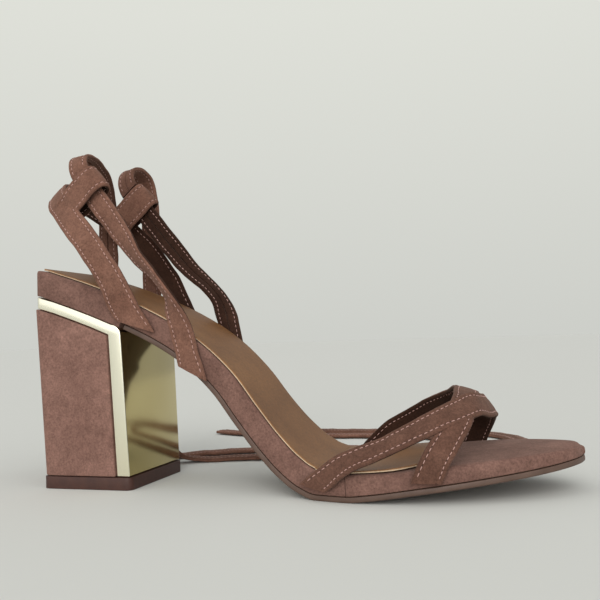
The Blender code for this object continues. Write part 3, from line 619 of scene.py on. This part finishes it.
def add_strap(shape, centres, ways, widths, thickness, facing, back_seam=False):
    """A flat stitched strap through centres. Facing is a share of its run and the way out there."""
    centres = [Vector(c) for c in centres]
    frames = strap_frames(centres, [Vector(w) for w in ways])
    share, outward = facing
    spot = frames[int(share * (len(frames) - 1))]
    out_sign = 1 if spot[3].dot(Vector(outward)) > 0 else -1
    frames, widths = worn(frames, widths)
    rings = []
    front_count = 0
    for (centre, _, way, face), width in zip(frames, widths):
        front, back = strap_profile(width / 2, thickness / 2, back_seam)
        front_count = len(front)
        profile = front + back
        rings.append([centre + way * a + face * (b * out_sign) for a, b in profile])
    # Front faces take the suede, back faces the darker back: the lining's tone with painted shade.
    shape.loft(rings, SUEDE_SLOT, lambda i: SUEDE_SLOT if i < front_count else LINING_SHADE_SLOT)
    add_stitches(shape, frames, widths, thickness)


def add_stitches(shape, frames, widths, thickness):
    """Two rows of thread and needle holes on each face of a strap."""
    run = [0.0]
    for (a, *_), (b, *_) in zip(frames, frames[1:]):
        run.append(run[-1] + (b - a).length)
    run = np.array(run)
    centres = np.array([f[0] for f in frames])
    aheads = np.array([f[1] for f in frames])
    ways = np.array([f[2] for f in frames])
    outs = np.array([f[3] for f in frames])
    widths = np.array(widths)

    def at(mark, values):
        if values.ndim == 1:
            return float(np.interp(mark, run, values))
        return Vector([float(np.interp(mark, run, values[:, k])) for k in range(3)])

    rise = thickness / 2 - GROOVE_DEPTH
    start = STITCH_PITCH
    while start + STITCH_LENGTH < run[-1] - STITCH_PITCH / 2:
        middle = start + STITCH_LENGTH / 2
        for side in (-1, 1):
            for face in (-1, 1):
                points = []
                for mark in (start, middle, start + STITCH_LENGTH):
                    across = side * (at(mark, widths) / 2 - STITCH_INSET)
                    points.append(at(mark, centres) + at(mark, ways) * across
                                  + at(mark, outs) * face * rise)
                out = at(middle, outs) * face
                add_thread(shape, points, out)
                hole = points[2] + at(middle, aheads) * (STITCH_PITCH - STITCH_LENGTH) / 2
                add_hole(shape, hole, at(middle, aheads), out)
        start += STITCH_PITCH


def add_thread(shape, points, out):
    """One stitch that rises out of the strap in its middle."""
    first, middle, last = points
    along = (last - first).normalized()
    side = along.cross(out).normalized()
    rings = []
    for share, size, lift in THREAD_STEPS:
        base = first.lerp(last, share) + (middle - first.lerp(last, 0.5)) * (1 - abs(2 * share - 1))
        centre = base + out * (lift * THREAD_RADIUS)
        ring = []
        for k in range(THREAD_SIDES):
            angle = 2 * math.pi * k / THREAD_SIDES
            ring.append(centre + (side * math.cos(angle) + out * math.sin(angle)) * THREAD_RADIUS * size)
        rings.append(ring)
    points = [first - out * THREAD_RADIUS * 0.5] + [p for ring in rings for p in ring]
    points.append(last - out * THREAD_RADIUS * 0.5)
    faces = []
    for k in range(THREAD_SIDES):
        j = (k + 1) % THREAD_SIDES
        faces.append((0, 1 + j, 1 + k))
        for r in range(2):
            low = 1 + r * THREAD_SIDES
            high = low + THREAD_SIDES
            faces.append((low + k, low + j, high + j, high + k))
        faces.append((1 + 2 * THREAD_SIDES + k, 1 + 2 * THREAD_SIDES + j, len(points) - 1))
    shape.add(points, faces, THREAD_SLOT)


def add_hole(shape, place, along, out):
    """A needle hole as a small flat bead that barely shows above the groove; its dark colour is painted
    shade inside the hole.
    """
    side = along.cross(out).normalized()
    points = [place + out * HOLE_RADIUS * 0.35, place - out * HOLE_RADIUS]
    for k in range(THREAD_SIDES):
        angle = 2 * math.pi * k / THREAD_SIDES
        points.append(place + (along * math.cos(angle) + side * math.sin(angle)) * HOLE_RADIUS)
    faces = []
    for k in range(THREAD_SIDES):
        j = (k + 1) % THREAD_SIDES
        faces.append((0, 2 + k, 2 + j))
        faces.append((1, 2 + j, 2 + k))
    shape.add(points, faces, HOLE_SLOT)


def toe_strap_track(rows, lift):
    """Centres, ways and widths of a strap over the instep."""
    scaled = []
    for row in rows:
        cell = dict(zip(TOE_STRAP_COLUMNS, row))
        x = cell["along"] * SHOE_LENGTH
        turns = (cell["angle"], cell["turn"], cell["lean"], cell["wide"])
        scaled.append((*instep_point(x, cell["angle"]), x, *turns))
    track = catmull(scaled, FINE_STRAP_STEP)
    centres = []
    ways = []
    widths = []
    for i, row in enumerate(track):
        x, angle, turn, lean, wide = row[3:]
        point = instep_point(x, angle)
        before = track[max(i - 2, 0)]
        after = track[min(i + 2, len(track) - 1)]
        ahead = instep_point(after[3], after[4]) - instep_point(before[3], before[4])
        round_way = instep_point(x, min(angle + 0.4, 179.6)) - instep_point(x, max(angle - 0.4, 0.4))
        along_way = instep_point(x + 0.001, angle) - instep_point(x - 0.001, angle)
        face = along_way.cross(round_way).normalized()
        way = ahead.cross(face).normalized()
        leaned = way * math.cos(math.radians(lean)) + face * math.sin(math.radians(lean))
        turned = leaned * math.cos(math.radians(turn)) + ahead.normalized() * math.sin(math.radians(turn))
        bump = math.exp(-((x - CROSSING_PLACE) ** 2 + point.y ** 2 / 3) / (2 * CROSSING_REACH ** 2))
        centres.append(point + face * lift * bump)
        ways.append(turned)
        widths.append(TOE_STRAP_WIDTH * wide)
    return centres, ways, widths


def make_toe_straps(looks):
    """The crossed toe straps."""
    shape = Shape()
    for rows, lift in ((UNDER_STRAP_ROWS, 0.0), (OVER_STRAP_ROWS, CROSSING_LIFT)):
        add_strap(shape, *toe_strap_track(rows, lift), SCENE_THICKNESS, (0.5, (0, 0, 1)))
    straps = shape.finish("toe_strap_pair", looks)
    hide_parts("toe_straps")


def free_track(points, width):
    """Centres, ways and widths of a free strap."""
    track = catmull(points, FINE_STRAP_STEP)
    return track[:, :3], track[:, 3:6], track[:, 6] * width


def add_loop(shape, side):
    """The folded lace loop on one side of the sling."""
    root = Vector((LOOP_ALONG * SHOE_LENGTH, side * LOOP_ACROSS * BALL_WIDTH, LOOP_UP * SEAT_HEIGHT))
    back = RULING.cross(Vector((0.0, 1.0, 0.0)))
    turn = math.radians(LOOP_TURN)
    out = Vector((0.0, side * math.cos(turn), 0.0)) - back * math.sin(turn)
    way = RULING.cross(out).normalized()
    half_gap = (LOOP_GAP + LOOP_PLY) / 2
    profile = [(reach, -gap) for reach, gap in LOOP_OUTLINE]
    profile += [(reach, gap) for reach, gap in LOOP_OUTLINE[-2::-1]]
    centres = [root + RULING * reach * LOOP_REACH + out * gap * half_gap for reach, gap in profile]
    track = catmull([tuple(c) for c in centres], FINE_STRAP_STEP)
    ways = [way] * len(track)
    widths = [LOOP_WIDTH] * len(track)
    add_strap(shape, track, ways, widths, LOOP_PLY, (0.0, -out))


def make_sling(looks):
    """The strap round the back of the heel, and its loops."""
    shape = Shape()
    outer_half = free_points(SLING_ROWS, -1)
    inner_half = free_points(SLING_ROWS[:-1], 1)[::-1]
    track = free_track(outer_half + inner_half, SLING_WIDTH)
    add_strap(shape, *track, SCENE_THICKNESS, (0.5, (-1, 0, 0)))
    for side in (-1, 1):
        add_loop(shape, side)
    sling = shape.finish("heel_sling_strap", looks)
    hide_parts("heel_sling")


def make_laces(looks):
    """The ankle laces up to their loops."""
    for name, side in (("lace_outer", -1), ("lace_inner", 1)):
        shape = Shape()
        track = free_track(free_points(LACE_ROWS, side), LACE_WIDTH)
        add_strap(shape, *track, SCENE_THICKNESS, (0.0, (0, side, 0)), back_seam=True)
        lace = shape.finish(name + "_strap", looks)
        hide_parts(name)


def make_ties(looks):
    """The free ends of the laces."""
    for name, rows, side in (("tie_outer", OUTER_TIE_ROWS, -1), ("tie_inner", INNER_TIE_ROWS, 1)):
        points = []
        for row in rows:
            cell = dict(zip(TIE_COLUMNS, row))
            z = max(cell["up"] * SEAT_HEIGHT, TIE_REST)
            place = (cell["along"] * SHOE_LENGTH, cell["across"] * BALL_WIDTH, z)
            points.append((*place, cell["way_x"], cell["way_y"], cell["way_z"], 1.0))
        centres, ways, widths = free_track(points, LACE_WIDTH)
        centres[:, 2] = np.maximum(centres[:, 2], TIE_FLOOR)
        shape = Shape()
        facing = (0.0, (0, side, 0))
        add_strap(shape, centres, ways, widths, SCENE_THICKNESS, facing, back_seam=True)
        tie = shape.finish(name + "_strap", looks)
        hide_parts(name)


def sole_ring(x, bottom, top, inset, edge, crown=0.0, foot=FOOT_CHAMFER, bulge=0.0):
    """One fine section of a sole layer between two rises, with rounded edges."""
    left = -outer(x) + inset
    right = inner(x) - inset
    half = (right - left) / 2
    middle = (left + right) / 2
    edge = min(edge, 0.45 * (top - bottom), 0.8 * half)
    foot = min(foot, 0.3 * half, 0.3 * (top - bottom))
    side = [(half - foot, bottom), (half - 0.3 * foot, bottom + 0.3 * foot), (half, bottom + foot)]
    wall = top - edge - bottom - foot
    side.append((half + bulge, bottom + foot + wall * 0.5))
    for k in range(6):
        angle = math.radians(90 * k / 5)
        side.append((half - edge + edge * math.cos(angle), top - edge + edge * math.sin(angle)))
    flat = half - edge
    for share in (0.9, 0.75, 0.5, 0.25):
        side.append((flat * share, top + crown * (1 - share * share)))
    profile = [(middle + a, b) for a, b in side]
    profile.append((middle, top + crown))
    profile += [(middle - a, b) for a, b in side[::-1]]
    return [sole_point(x, y, rise) for y, rise in profile]


def fine_stations(start, end, step):
    """Even places along the shoe, closer towards the end."""
    count = max(2, round((end - start) / step))
    return [start + (end - start) * i / count for i in range(count + 1)]


def tip_stations(start, end, step, nose):
    """Places that crowd together over the nose, so that a rounded end stays round."""
    places = fine_stations(start, end - nose, step)
    for k in range(1, 15):
        places.append(end - nose * (1 - math.sin(math.radians(90 * k / 14))))
    return places


def make_sole(looks):
    """Outsole, footbed, padded toe cover and sock."""
    shape = Shape()
    rings = []
    for x in tip_stations(BREAST_TOP + OUTSOLE_START, TOE_TIP, 0.0025, 0.012):
        front = min(max((x - TOE_COVER_BACK) / (TOE_TIP - TOE_COVER_BACK), 0.0), 1.0)
        inset = OUTSOLE_INSET - (OUTSOLE_INSET + OUTSOLE_LIP) * front
        rings.append(sole_ring(x, 0.0, OUTSOLE_THICKNESS, inset, 0.0004))
    rings += nose_rings(rings[-1], OUTSOLE_NOSE_STEPS)
    shape.loft(rings)
    piece = shape.finish("outsole_layer", [looks["sole"]])
    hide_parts("outsole")

    shape = Shape()
    places = fine_stations(SEAT_BACK, BREAST_TOP - 0.0001, 0.002)
    places += fine_stations(BREAST_TOP + 0.0001, TOE_COVER_BACK - CLEARANCE / 2, 0.002)
    shape.loft([sole_ring(x, bed_bottom(x), thick(x), 0.0, BED_EDGE_ROUND) for x in places])
    piece = shape.finish("footbed_cover", [looks["sole_suede_painted_shade"]])
    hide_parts("footbed")

    shape = Shape()
    rings = []
    for x in tip_stations(TOE_COVER_BACK + CLEARANCE / 2, TOE_TIP, 0.002, 0.012):
        grow = min((x - TOE_COVER_BACK) / TOE_PADDING_RUN, 1.0)
        edge = BED_EDGE_ROUND + (TOE_EDGE_ROUND - BED_EDGE_ROUND) * grow
        bottom = OUTSOLE_THICKNESS + CLEARANCE
        rings.append(sole_ring(x, bottom, thick(x), -PADDING_SWELL * grow, edge, TOE_CROWN * grow))
    rings += nose_rings(rings[-1], TOE_NOSE_STEPS)
    shape.loft(rings)
    piece = shape.finish("toe_padding", [looks["sole_suede_painted_shade"]])
    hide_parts("toe_cover")

    shape = Shape()
    rings = []
    start = SEAT_BACK + INSOLE_SEAT_INSET + 0.0012
    for x in tip_stations(start, INSOLE_FRONT, 0.0022, 0.012):
        left_over = max((x - INSOLE_FRONT + INSOLE_NOSE) / INSOLE_NOSE, 0.0)
        nose = (1 - math.sqrt(max(1 - left_over * left_over, 0.0))) * 0.8
        inset = sock_inset(x) + nose * min(outer(x), inner(x))
        grow = min(max((x - TOE_COVER_BACK) / TOE_PADDING_RUN, 0.0), 1.0)
        bottom = thick(x) + CLEARANCE + TOE_CROWN * grow
        rings.append(sole_ring(x, bottom, bottom + INSOLE_THICKNESS, inset, 0.0004, foot=0.0002))
    edge_faces = (3, 4, 5, 24, 25, 26)
    shape.loft(rings, 0, lambda i: 1 if i in edge_faces else 0)
    piece = shape.finish("sock_lining", [looks["sock"], looks["sock_edge"]])
    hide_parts("insole")


def heel_body(outline, recess, corner_at, bevel):
    """A side outline carried across the heel, with soft edges."""
    bm = bmesh.new()
    sides = []
    for side in (-1, 1):
        sides.append([bm.verts.new((x, side * heel_half_width(z, recess), z)) for x, z in outline])
    count = len(outline)
    for i in range(count):
        j = (i + 1) % count
        bm.faces.new((sides[0][i], sides[0][j], sides[1][j], sides[1][i]))
    bm.faces.new(sides[0][::-1])
    bm.faces.new(sides[1])
    upright = []
    for edge in bm.edges:
        a, b = edge.verts
        if abs(a.co.y - b.co.y) < 0.003 and max(a.co.x, b.co.x) < corner_at:
            if abs(a.co.z - b.co.z) > 0.003:
                upright.append(edge)
    bmesh.ops.bevel(bm, geom=upright, offset=HEEL_CORNER, segments=6, profile=0.5, affect="EDGES")
    bmesh.ops.recalc_face_normals(bm, faces=bm.faces)
    sharp = [e for e in bm.edges if e.is_manifold and e.calc_face_angle() > math.radians(28)]
    bmesh.ops.bevel(bm, geom=sharp, offset=bevel, segments=3, profile=0.5, affect="EDGES",
                    clamp_overlap=True)
    shape = Shape()
    bm.verts.ensure_lookup_table()
    bm.verts.index_update()
    shape.add([v.co.copy() for v in bm.verts], [tuple(v.index for v in f.verts) for f in bm.faces], 0)
    bm.free()
    return shape


def front_face(body, face):
    """Whether a face of the gold frame is part of its flat breast."""
    across = [body.points[i].y for i in face]
    along = min(body.points[i].x for i in face)
    return max(across) - min(across) > GOLD_STRIP and along > BREAST_TOP - 0.001


def make_heel(looks):
    """Suede-covered block, gold frame and toplift."""
    floor = TOPLIFT_THICKNESS + CLEARANCE
    corner = HEEL_FOOT_LENGTH / 7
    band_top = seat_line(BAND_GAP, HEEL_BACK_TOP + 0.0005, BREAST_TOP - FRAME_CORNER)
    band_top += corner_arc(BREAST_TOP, band_top[-1][1], FRAME_CORNER)
    band_low = seat_line(GOLD_BAND, HEEL_BACK_TOP + 0.0005, BREAST_TOP - GOLD_STRIP)
    foot_front = breast_x(floor, 0.0)
    outline = band_top + [(foot_front, floor), (foot_front - GOLD_STRIP, floor)] + band_low[::-1]
    body = heel_body(outline, GOLD_RECESS, corner, 0.0005)
    # The breast faces take the darker gold with painted shade, the rest the near-white gold with painted
    # highlight; it is one metal.
    body.slots = [0 if front_face(body, face) else 1 for face in body.faces]
    piece = body.finish("gold_frame", [looks["gold"], looks["gold_rim_painted_highlight"]], 30.0)
    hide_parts("heel_frame")

    gap = 2 * CLEARANCE
    block_top = seat_line(GOLD_BAND + gap, HEEL_BACK_TOP, BREAST_TOP - GOLD_STRIP - gap)
    outline = block_top + [(foot_front - GOLD_STRIP - gap, floor), (back_x(floor), floor)]
    piece = heel_body(outline, 0.0, corner, 0.0005).finish("heel_cover", [looks["heel_suede_painted_shade"]], 30.0)
    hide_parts("heel_block")

    outline = [(0.0, 0.0), (HEEL_FOOT_LENGTH, 0.0)]
    outline += [(HEEL_FOOT_LENGTH, TOPLIFT_THICKNESS), (0.0, TOPLIFT_THICKNESS)]
    lift = heel_body(outline, -TOPLIFT_SPREAD, 2 * HEEL_FOOT_LENGTH, 0.0003)
    piece = lift.finish("heel_tip", [looks["rubber"]], 30.0)
    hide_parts("toplift")


class Nodes:
    """A material's nodes, added and joined by short calls."""

    def __init__(self, name):
        self.material = bpy.data.materials.new(name)
        self.material.use_nodes = True
        self.tree = self.material.node_tree
        self.shader = self.tree.nodes["Principled BSDF"]
        self.place = self.tree.nodes.new("ShaderNodeTexCoord").outputs["Object"]

    def set(self, **values):
        """Uniform values straight on the shader's own sockets."""
        for name, value in values.items():
            self.shader.inputs[name.replace("_", " ").title().replace("Ior", "IOR")].default_value = value

    def noise(self, scale, detail, roughness=0.55, stretch=None):
        """The value of a noise texture in the piece's own space."""
        node = self.tree.nodes.new("ShaderNodeTexNoise")
        node.inputs["Scale"].default_value = scale
        node.inputs["Detail"].default_value = detail
        node.inputs["Roughness"].default_value = roughness
        place = self.place
        if stretch:
            mapping = self.tree.nodes.new("ShaderNodeMapping")
            mapping.inputs["Scale"].default_value = stretch
            self.tree.links.new(place, mapping.inputs["Vector"])
            place = mapping.outputs["Vector"]
        self.tree.links.new(place, node.inputs["Vector"])
        return node.outputs["Fac"]

    def ramp(self, value, low, high, colours):
        """Colours spread between two values."""
        node = self.tree.nodes.new("ShaderNodeValToRGB")
        ramp = node.color_ramp
        ramp.elements[0].position = low
        ramp.elements[1].position = high
        ramp.elements[0].color = (*colours[0], 1.0)
        ramp.elements[1].color = (*colours[-1], 1.0)
        for k, colour in enumerate(colours[1:-1], 1):
            element = ramp.elements.new(low + (high - low) * k / (len(colours) - 1))
            element.color = (*colour, 1.0)
        self.tree.links.new(value, node.inputs["Fac"])
        return node.outputs["Color"]

    def mix(self, kind, factor, a, b):
        """Two colours mixed by a blend type."""
        node = self.tree.nodes.new("ShaderNodeMix")
        node.data_type = "RGBA"
        node.blend_type = kind
        node.inputs["Factor"].default_value = factor
        self.tree.links.new(a, node.inputs[6])
        self.tree.links.new(b, node.inputs[7])
        return node.outputs[2]

    def bump(self, height, strength, distance, under=None):
        """Relief from a value, on top of another relief."""
        node = self.tree.nodes.new("ShaderNodeBump")
        node.inputs["Strength"].default_value = strength
        node.inputs["Distance"].default_value = distance
        self.tree.links.new(height, node.inputs["Height"])
        if under is not None:
            self.tree.links.new(under, node.inputs["Normal"])
        return node.outputs["Normal"]

    def join(self, value, socket):
        """A link into one of the shader's sockets."""
        self.tree.links.new(value, self.shader.inputs[socket])


# One suede for every piece. The pieces below get lit and shaded copies of it: their darker and lighter tones
# are painted shade and painted light for how the light falls on each piece.
SUEDE_DARK = (0.190, 0.100, 0.078)
SUEDE_LIGHT = (0.290, 0.158, 0.124)
# The straps' copy: the suede made lighter, painted light on their lit front faces.
STRAP_LIT_DARK = (0.140, 0.067, 0.046)
STRAP_LIT_LIGHT = (0.212, 0.106, 0.074)


def suede(name, dark, light):
    """Brushed suede: mottled nap, fine fibres and a soft sheen."""
    nodes = Nodes(name)
    colour = nodes.ramp(nodes.noise(60.0, 4.0, 0.6), 0.32, 0.70, (dark, light))
    patches = nodes.ramp(nodes.noise(260.0, 5.0, 0.65), 0.30, 0.72, ((0.84,) * 3, (1.0,) * 3, (1.15,) * 3))
    nap = nodes.noise(1150.0, 4.0, 0.75)
    specks = nodes.ramp(nap, 0.30, 0.72, ((0.62,) * 3, (1.0,) * 3, (1.34,) * 3))
    mottled = nodes.mix("MULTIPLY", 1.0, colour, patches)
    nodes.join(nodes.mix("MULTIPLY", 1.0, mottled, specks), "Base Color")
    fibres = nodes.noise(2100.0, 3.0, 0.75)
    relief = nodes.bump(nap, 0.5, 0.0003)
    nodes.join(nodes.bump(fibres, 0.5, 0.0002, relief), "Normal")
    nodes.set(roughness=0.95, sheen_weight=0.12, sheen_roughness=0.5)
    nodes.shader.inputs["Sheen Tint"].default_value = (0.92, 0.68, 0.56, 1.0)
    nodes.shader.inputs["Specular IOR Level"].default_value = 0.12
    return nodes.material


def gold_look(name, dark, light, roughness):
    """Polished gold plating with a faint waviness."""
    nodes = Nodes(name)
    waves = nodes.noise(22.0, 1.5)
    tint = nodes.ramp(waves, 0.35, 0.65, (dark, light))
    nodes.join(tint, "Base Color")
    nodes.join(nodes.bump(waves, 0.06, 0.004), "Normal")
    nodes.set(metallic=1.0, roughness=roughness)
    return nodes.material


def sock_look(name, dark, light):
    """Tan leather with a metallic finish and a fine grain."""
    nodes = Nodes(name)
    blotches = nodes.noise(38.0, 4.0)
    colour = nodes.ramp(blotches, 0.30, 0.70, (dark, light))
    specks = nodes.noise(900.0, 3.0, 0.7)
    shade = nodes.ramp(specks, 0.35, 0.70, ((0.82, 0.82, 0.82), (1.15, 1.14, 1.12)))
    nodes.join(nodes.mix("MULTIPLY", 1.0, colour, shade), "Base Color")
    grain = nodes.noise(700.0, 5.0, 0.65)
    nodes.join(nodes.bump(grain, 0.25, 0.0002), "Normal")
    nodes.set(metallic=0.25, roughness=0.5)
    return nodes.material


def plain_look(name, dark, light, roughness, scale, relief):
    """A dense brown material with slight mottling and grain."""
    nodes = Nodes(name)
    nodes.join(nodes.ramp(nodes.noise(scale, 4.0), 0.3, 0.7, (dark, light)), "Base Color")
    nodes.join(nodes.bump(nodes.noise(scale * 6, 3.0), relief, 0.0002), "Normal")
    nodes.set(roughness=roughness)
    return nodes.material


def toned(colour, share):
    """A colour made darker or lighter."""
    return tuple(value * share for value in colour)


def make_looks():
    """Every material by name."""
    return {
        # Heel cover: the suede darkened a little, painted shade.
        "heel_suede_painted_shade": suede("heel_suede_painted_shade", toned(SUEDE_DARK, 0.88), toned(SUEDE_LIGHT, 0.88)),
        # Footbed and toe cover: the suede darkened more, painted shade.
        "sole_suede_painted_shade": suede("sole_suede_painted_shade", toned(SUEDE_DARK, 0.72), toned(SUEDE_LIGHT, 0.72)),
        # Sling, laces and tie fronts: the lighter strap copy, painted light.
        "suede": suede("strap_suede", STRAP_LIT_DARK, STRAP_LIT_LIGHT),
        # Toe straps: the strap copy darkened, a painted shadow of the other shoe of the pair.
        "toe_suede_painted_shadow": suede("toe_strap_suede_painted_shadow", toned(STRAP_LIT_DARK, 0.66), toned(STRAP_LIT_LIGHT, 0.66)),
        # Tie backs: the strap copy darkened, painted shade.
        "tie_back_painted_shade": suede("tie_back_painted_shade", toned(STRAP_LIT_DARK, 0.72), toned(STRAP_LIT_LIGHT, 0.72)),
        # Back faces of laces, sling and toe straps: the lining is a little browner, and the rest of the
        # darkness is painted shade.
        "lining": suede("strap_back_painted_shade", (0.030, 0.013, 0.008), (0.046, 0.021, 0.013)),
        "thread": plain_look("pink_thread", (0.41, 0.24, 0.205), (0.52, 0.325, 0.28), 0.7, 900.0, 0.3),
        # Needle holes: near black, painted shade inside each hole.
        "hole": plain_look("needle_hole_painted_shade", (0.020, 0.010, 0.009), (0.035, 0.018, 0.016), 0.9, 500.0, 0.1),
        # Gold breast: a darker gold, painted shade in what it mirrors; the same metal as the rim.
        "gold": gold_look("gold_plate_painted_shade", (0.53, 0.44, 0.205), (0.58, 0.49, 0.245), 0.14),
        # Gold rim on the heel's sides: near-white gold, a painted highlight in what it mirrors.
        "gold_rim_painted_highlight": gold_look("gold_rim_painted_highlight", (0.97, 0.93, 0.72), (1.0, 0.97, 0.80), 0.26),
        "sock": sock_look("sock_leather", (0.195, 0.086, 0.027), (0.280, 0.131, 0.045)),
        "sock_edge": sock_look("sock_cut_edge", (0.52, 0.37, 0.24), (0.64, 0.48, 0.33)),
        "rubber": plain_look("toplift_rubber", (0.042, 0.013, 0.008), (0.060, 0.020, 0.012),
                             0.55, 300.0, 0.2),
        "sole": plain_look("sole_edge", (0.078, 0.042, 0.028), (0.112, 0.064, 0.045), 0.5, 160.0, 0.2),
    }


# The surround's tones: the floor, the lit side behind the viewer, the room beyond, and the wall in view
FLOOR_TONE = (0.668, 0.668, 0.628)
WINDOW_SIDE = (1.25, 1.26, 1.24)
ROOM_SIDE = (0.44, 0.45, 0.45)
WALL_LOW = (0.612, 0.622, 0.585)
WALL_HIGH = (0.735, 0.745, 0.690)
SUN_STRENGTH = 1.35
SUN_SPREAD = 40.0
SUN_FROM = (0.20, -1.00, 0.48)


def make_stage():
    """A pale floor that runs to the horizon."""
    bm = bmesh.new()
    bmesh.ops.create_circle(bm, cap_ends=True, radius=12.0, segments=96)
    mesh = bpy.data.meshes.new("floor")
    bm.to_mesh(mesh)
    bm.free()
    nodes = Nodes("floor_paper")
    nodes.shader.inputs["Base Color"].default_value = (*FLOOR_TONE, 1.0)
    nodes.set(roughness=0.9, specular_ior_level=0.2)
    mesh.materials.append(nodes.material)
    floor = bpy.data.objects.new("floor", mesh)
    bpy.context.scene.collection.objects.link(floor)


def make_light():
    """Soft daylight from the viewer's side, with an even pale surround."""
    world = bpy.data.worlds.new("surround")
    world.use_nodes = True
    tree = world.node_tree
    surround = tree.nodes["Background"]
    surround.inputs["Strength"].default_value = 1.0
    wall = tree.nodes.new("ShaderNodeBackground")
    way = tree.nodes.new("ShaderNodeSeparateXYZ")
    tree.links.new(tree.nodes.new("ShaderNodeTexCoord").outputs["Generated"], way.inputs[0])
    near = tree.nodes.new("ShaderNodeMapRange")
    near.inputs["From Min"].default_value = -1.0
    tree.links.new(way.outputs["Y"], near.inputs["Value"])
    for value, colours, end, lit in (
        (near.outputs[0], (WINDOW_SIDE, ROOM_SIDE), 0.75, surround),
        (way.outputs["Z"], (WALL_LOW, WALL_HIGH), 0.38, wall),
    ):
        fade = tree.nodes.new("ShaderNodeValToRGB")
        fade.color_ramp.elements[0].color = (*colours[0], 1.0)
        fade.color_ramp.elements[1].color = (*colours[1], 1.0)
        fade.color_ramp.elements[1].position = end
        tree.links.new(value, fade.inputs["Fac"])
        tree.links.new(fade.outputs["Color"], lit.inputs["Color"])
    seen = tree.nodes.new("ShaderNodeLightPath")
    either = tree.nodes.new("ShaderNodeMixShader")
    tree.links.new(seen.outputs["Is Camera Ray"], either.inputs[0])
    tree.links.new(surround.outputs[0], either.inputs[1])
    tree.links.new(wall.outputs[0], either.inputs[2])
    tree.links.new(either.outputs[0], tree.nodes["World Output"].inputs["Surface"])
    bpy.context.scene.world = world
    sun = bpy.data.objects.new("daylight", bpy.data.lights.new("daylight", "SUN"))
    sun.data.energy = SUN_STRENGTH
    sun.data.angle = math.radians(SUN_SPREAD)
    sun.rotation_euler = Vector(SUN_FROM).to_track_quat("Z", "Y").to_euler()
    bpy.context.scene.collection.objects.link(sun)


def main():
    """Everything in its order: camera and cords first."""
    make_camera()
    looks = make_looks()
    strap_looks = [looks["suede"], looks["lining"], looks["thread"], looks["hole"]]
    make_ties([looks["suede"], looks["tie_back_painted_shade"], *strap_looks[2:]])
    make_laces(strap_looks)
    make_sling(strap_looks)
    # The toe straps take the darker suede with the painted shadow.
    make_toe_straps([looks["toe_suede_painted_shadow"], *strap_looks[1:]])
    make_sole(looks)
    make_heel(looks)
    make_stage()
    make_light()
    scene = bpy.context.scene
    scene.view_settings.view_transform = "Standard"


main()
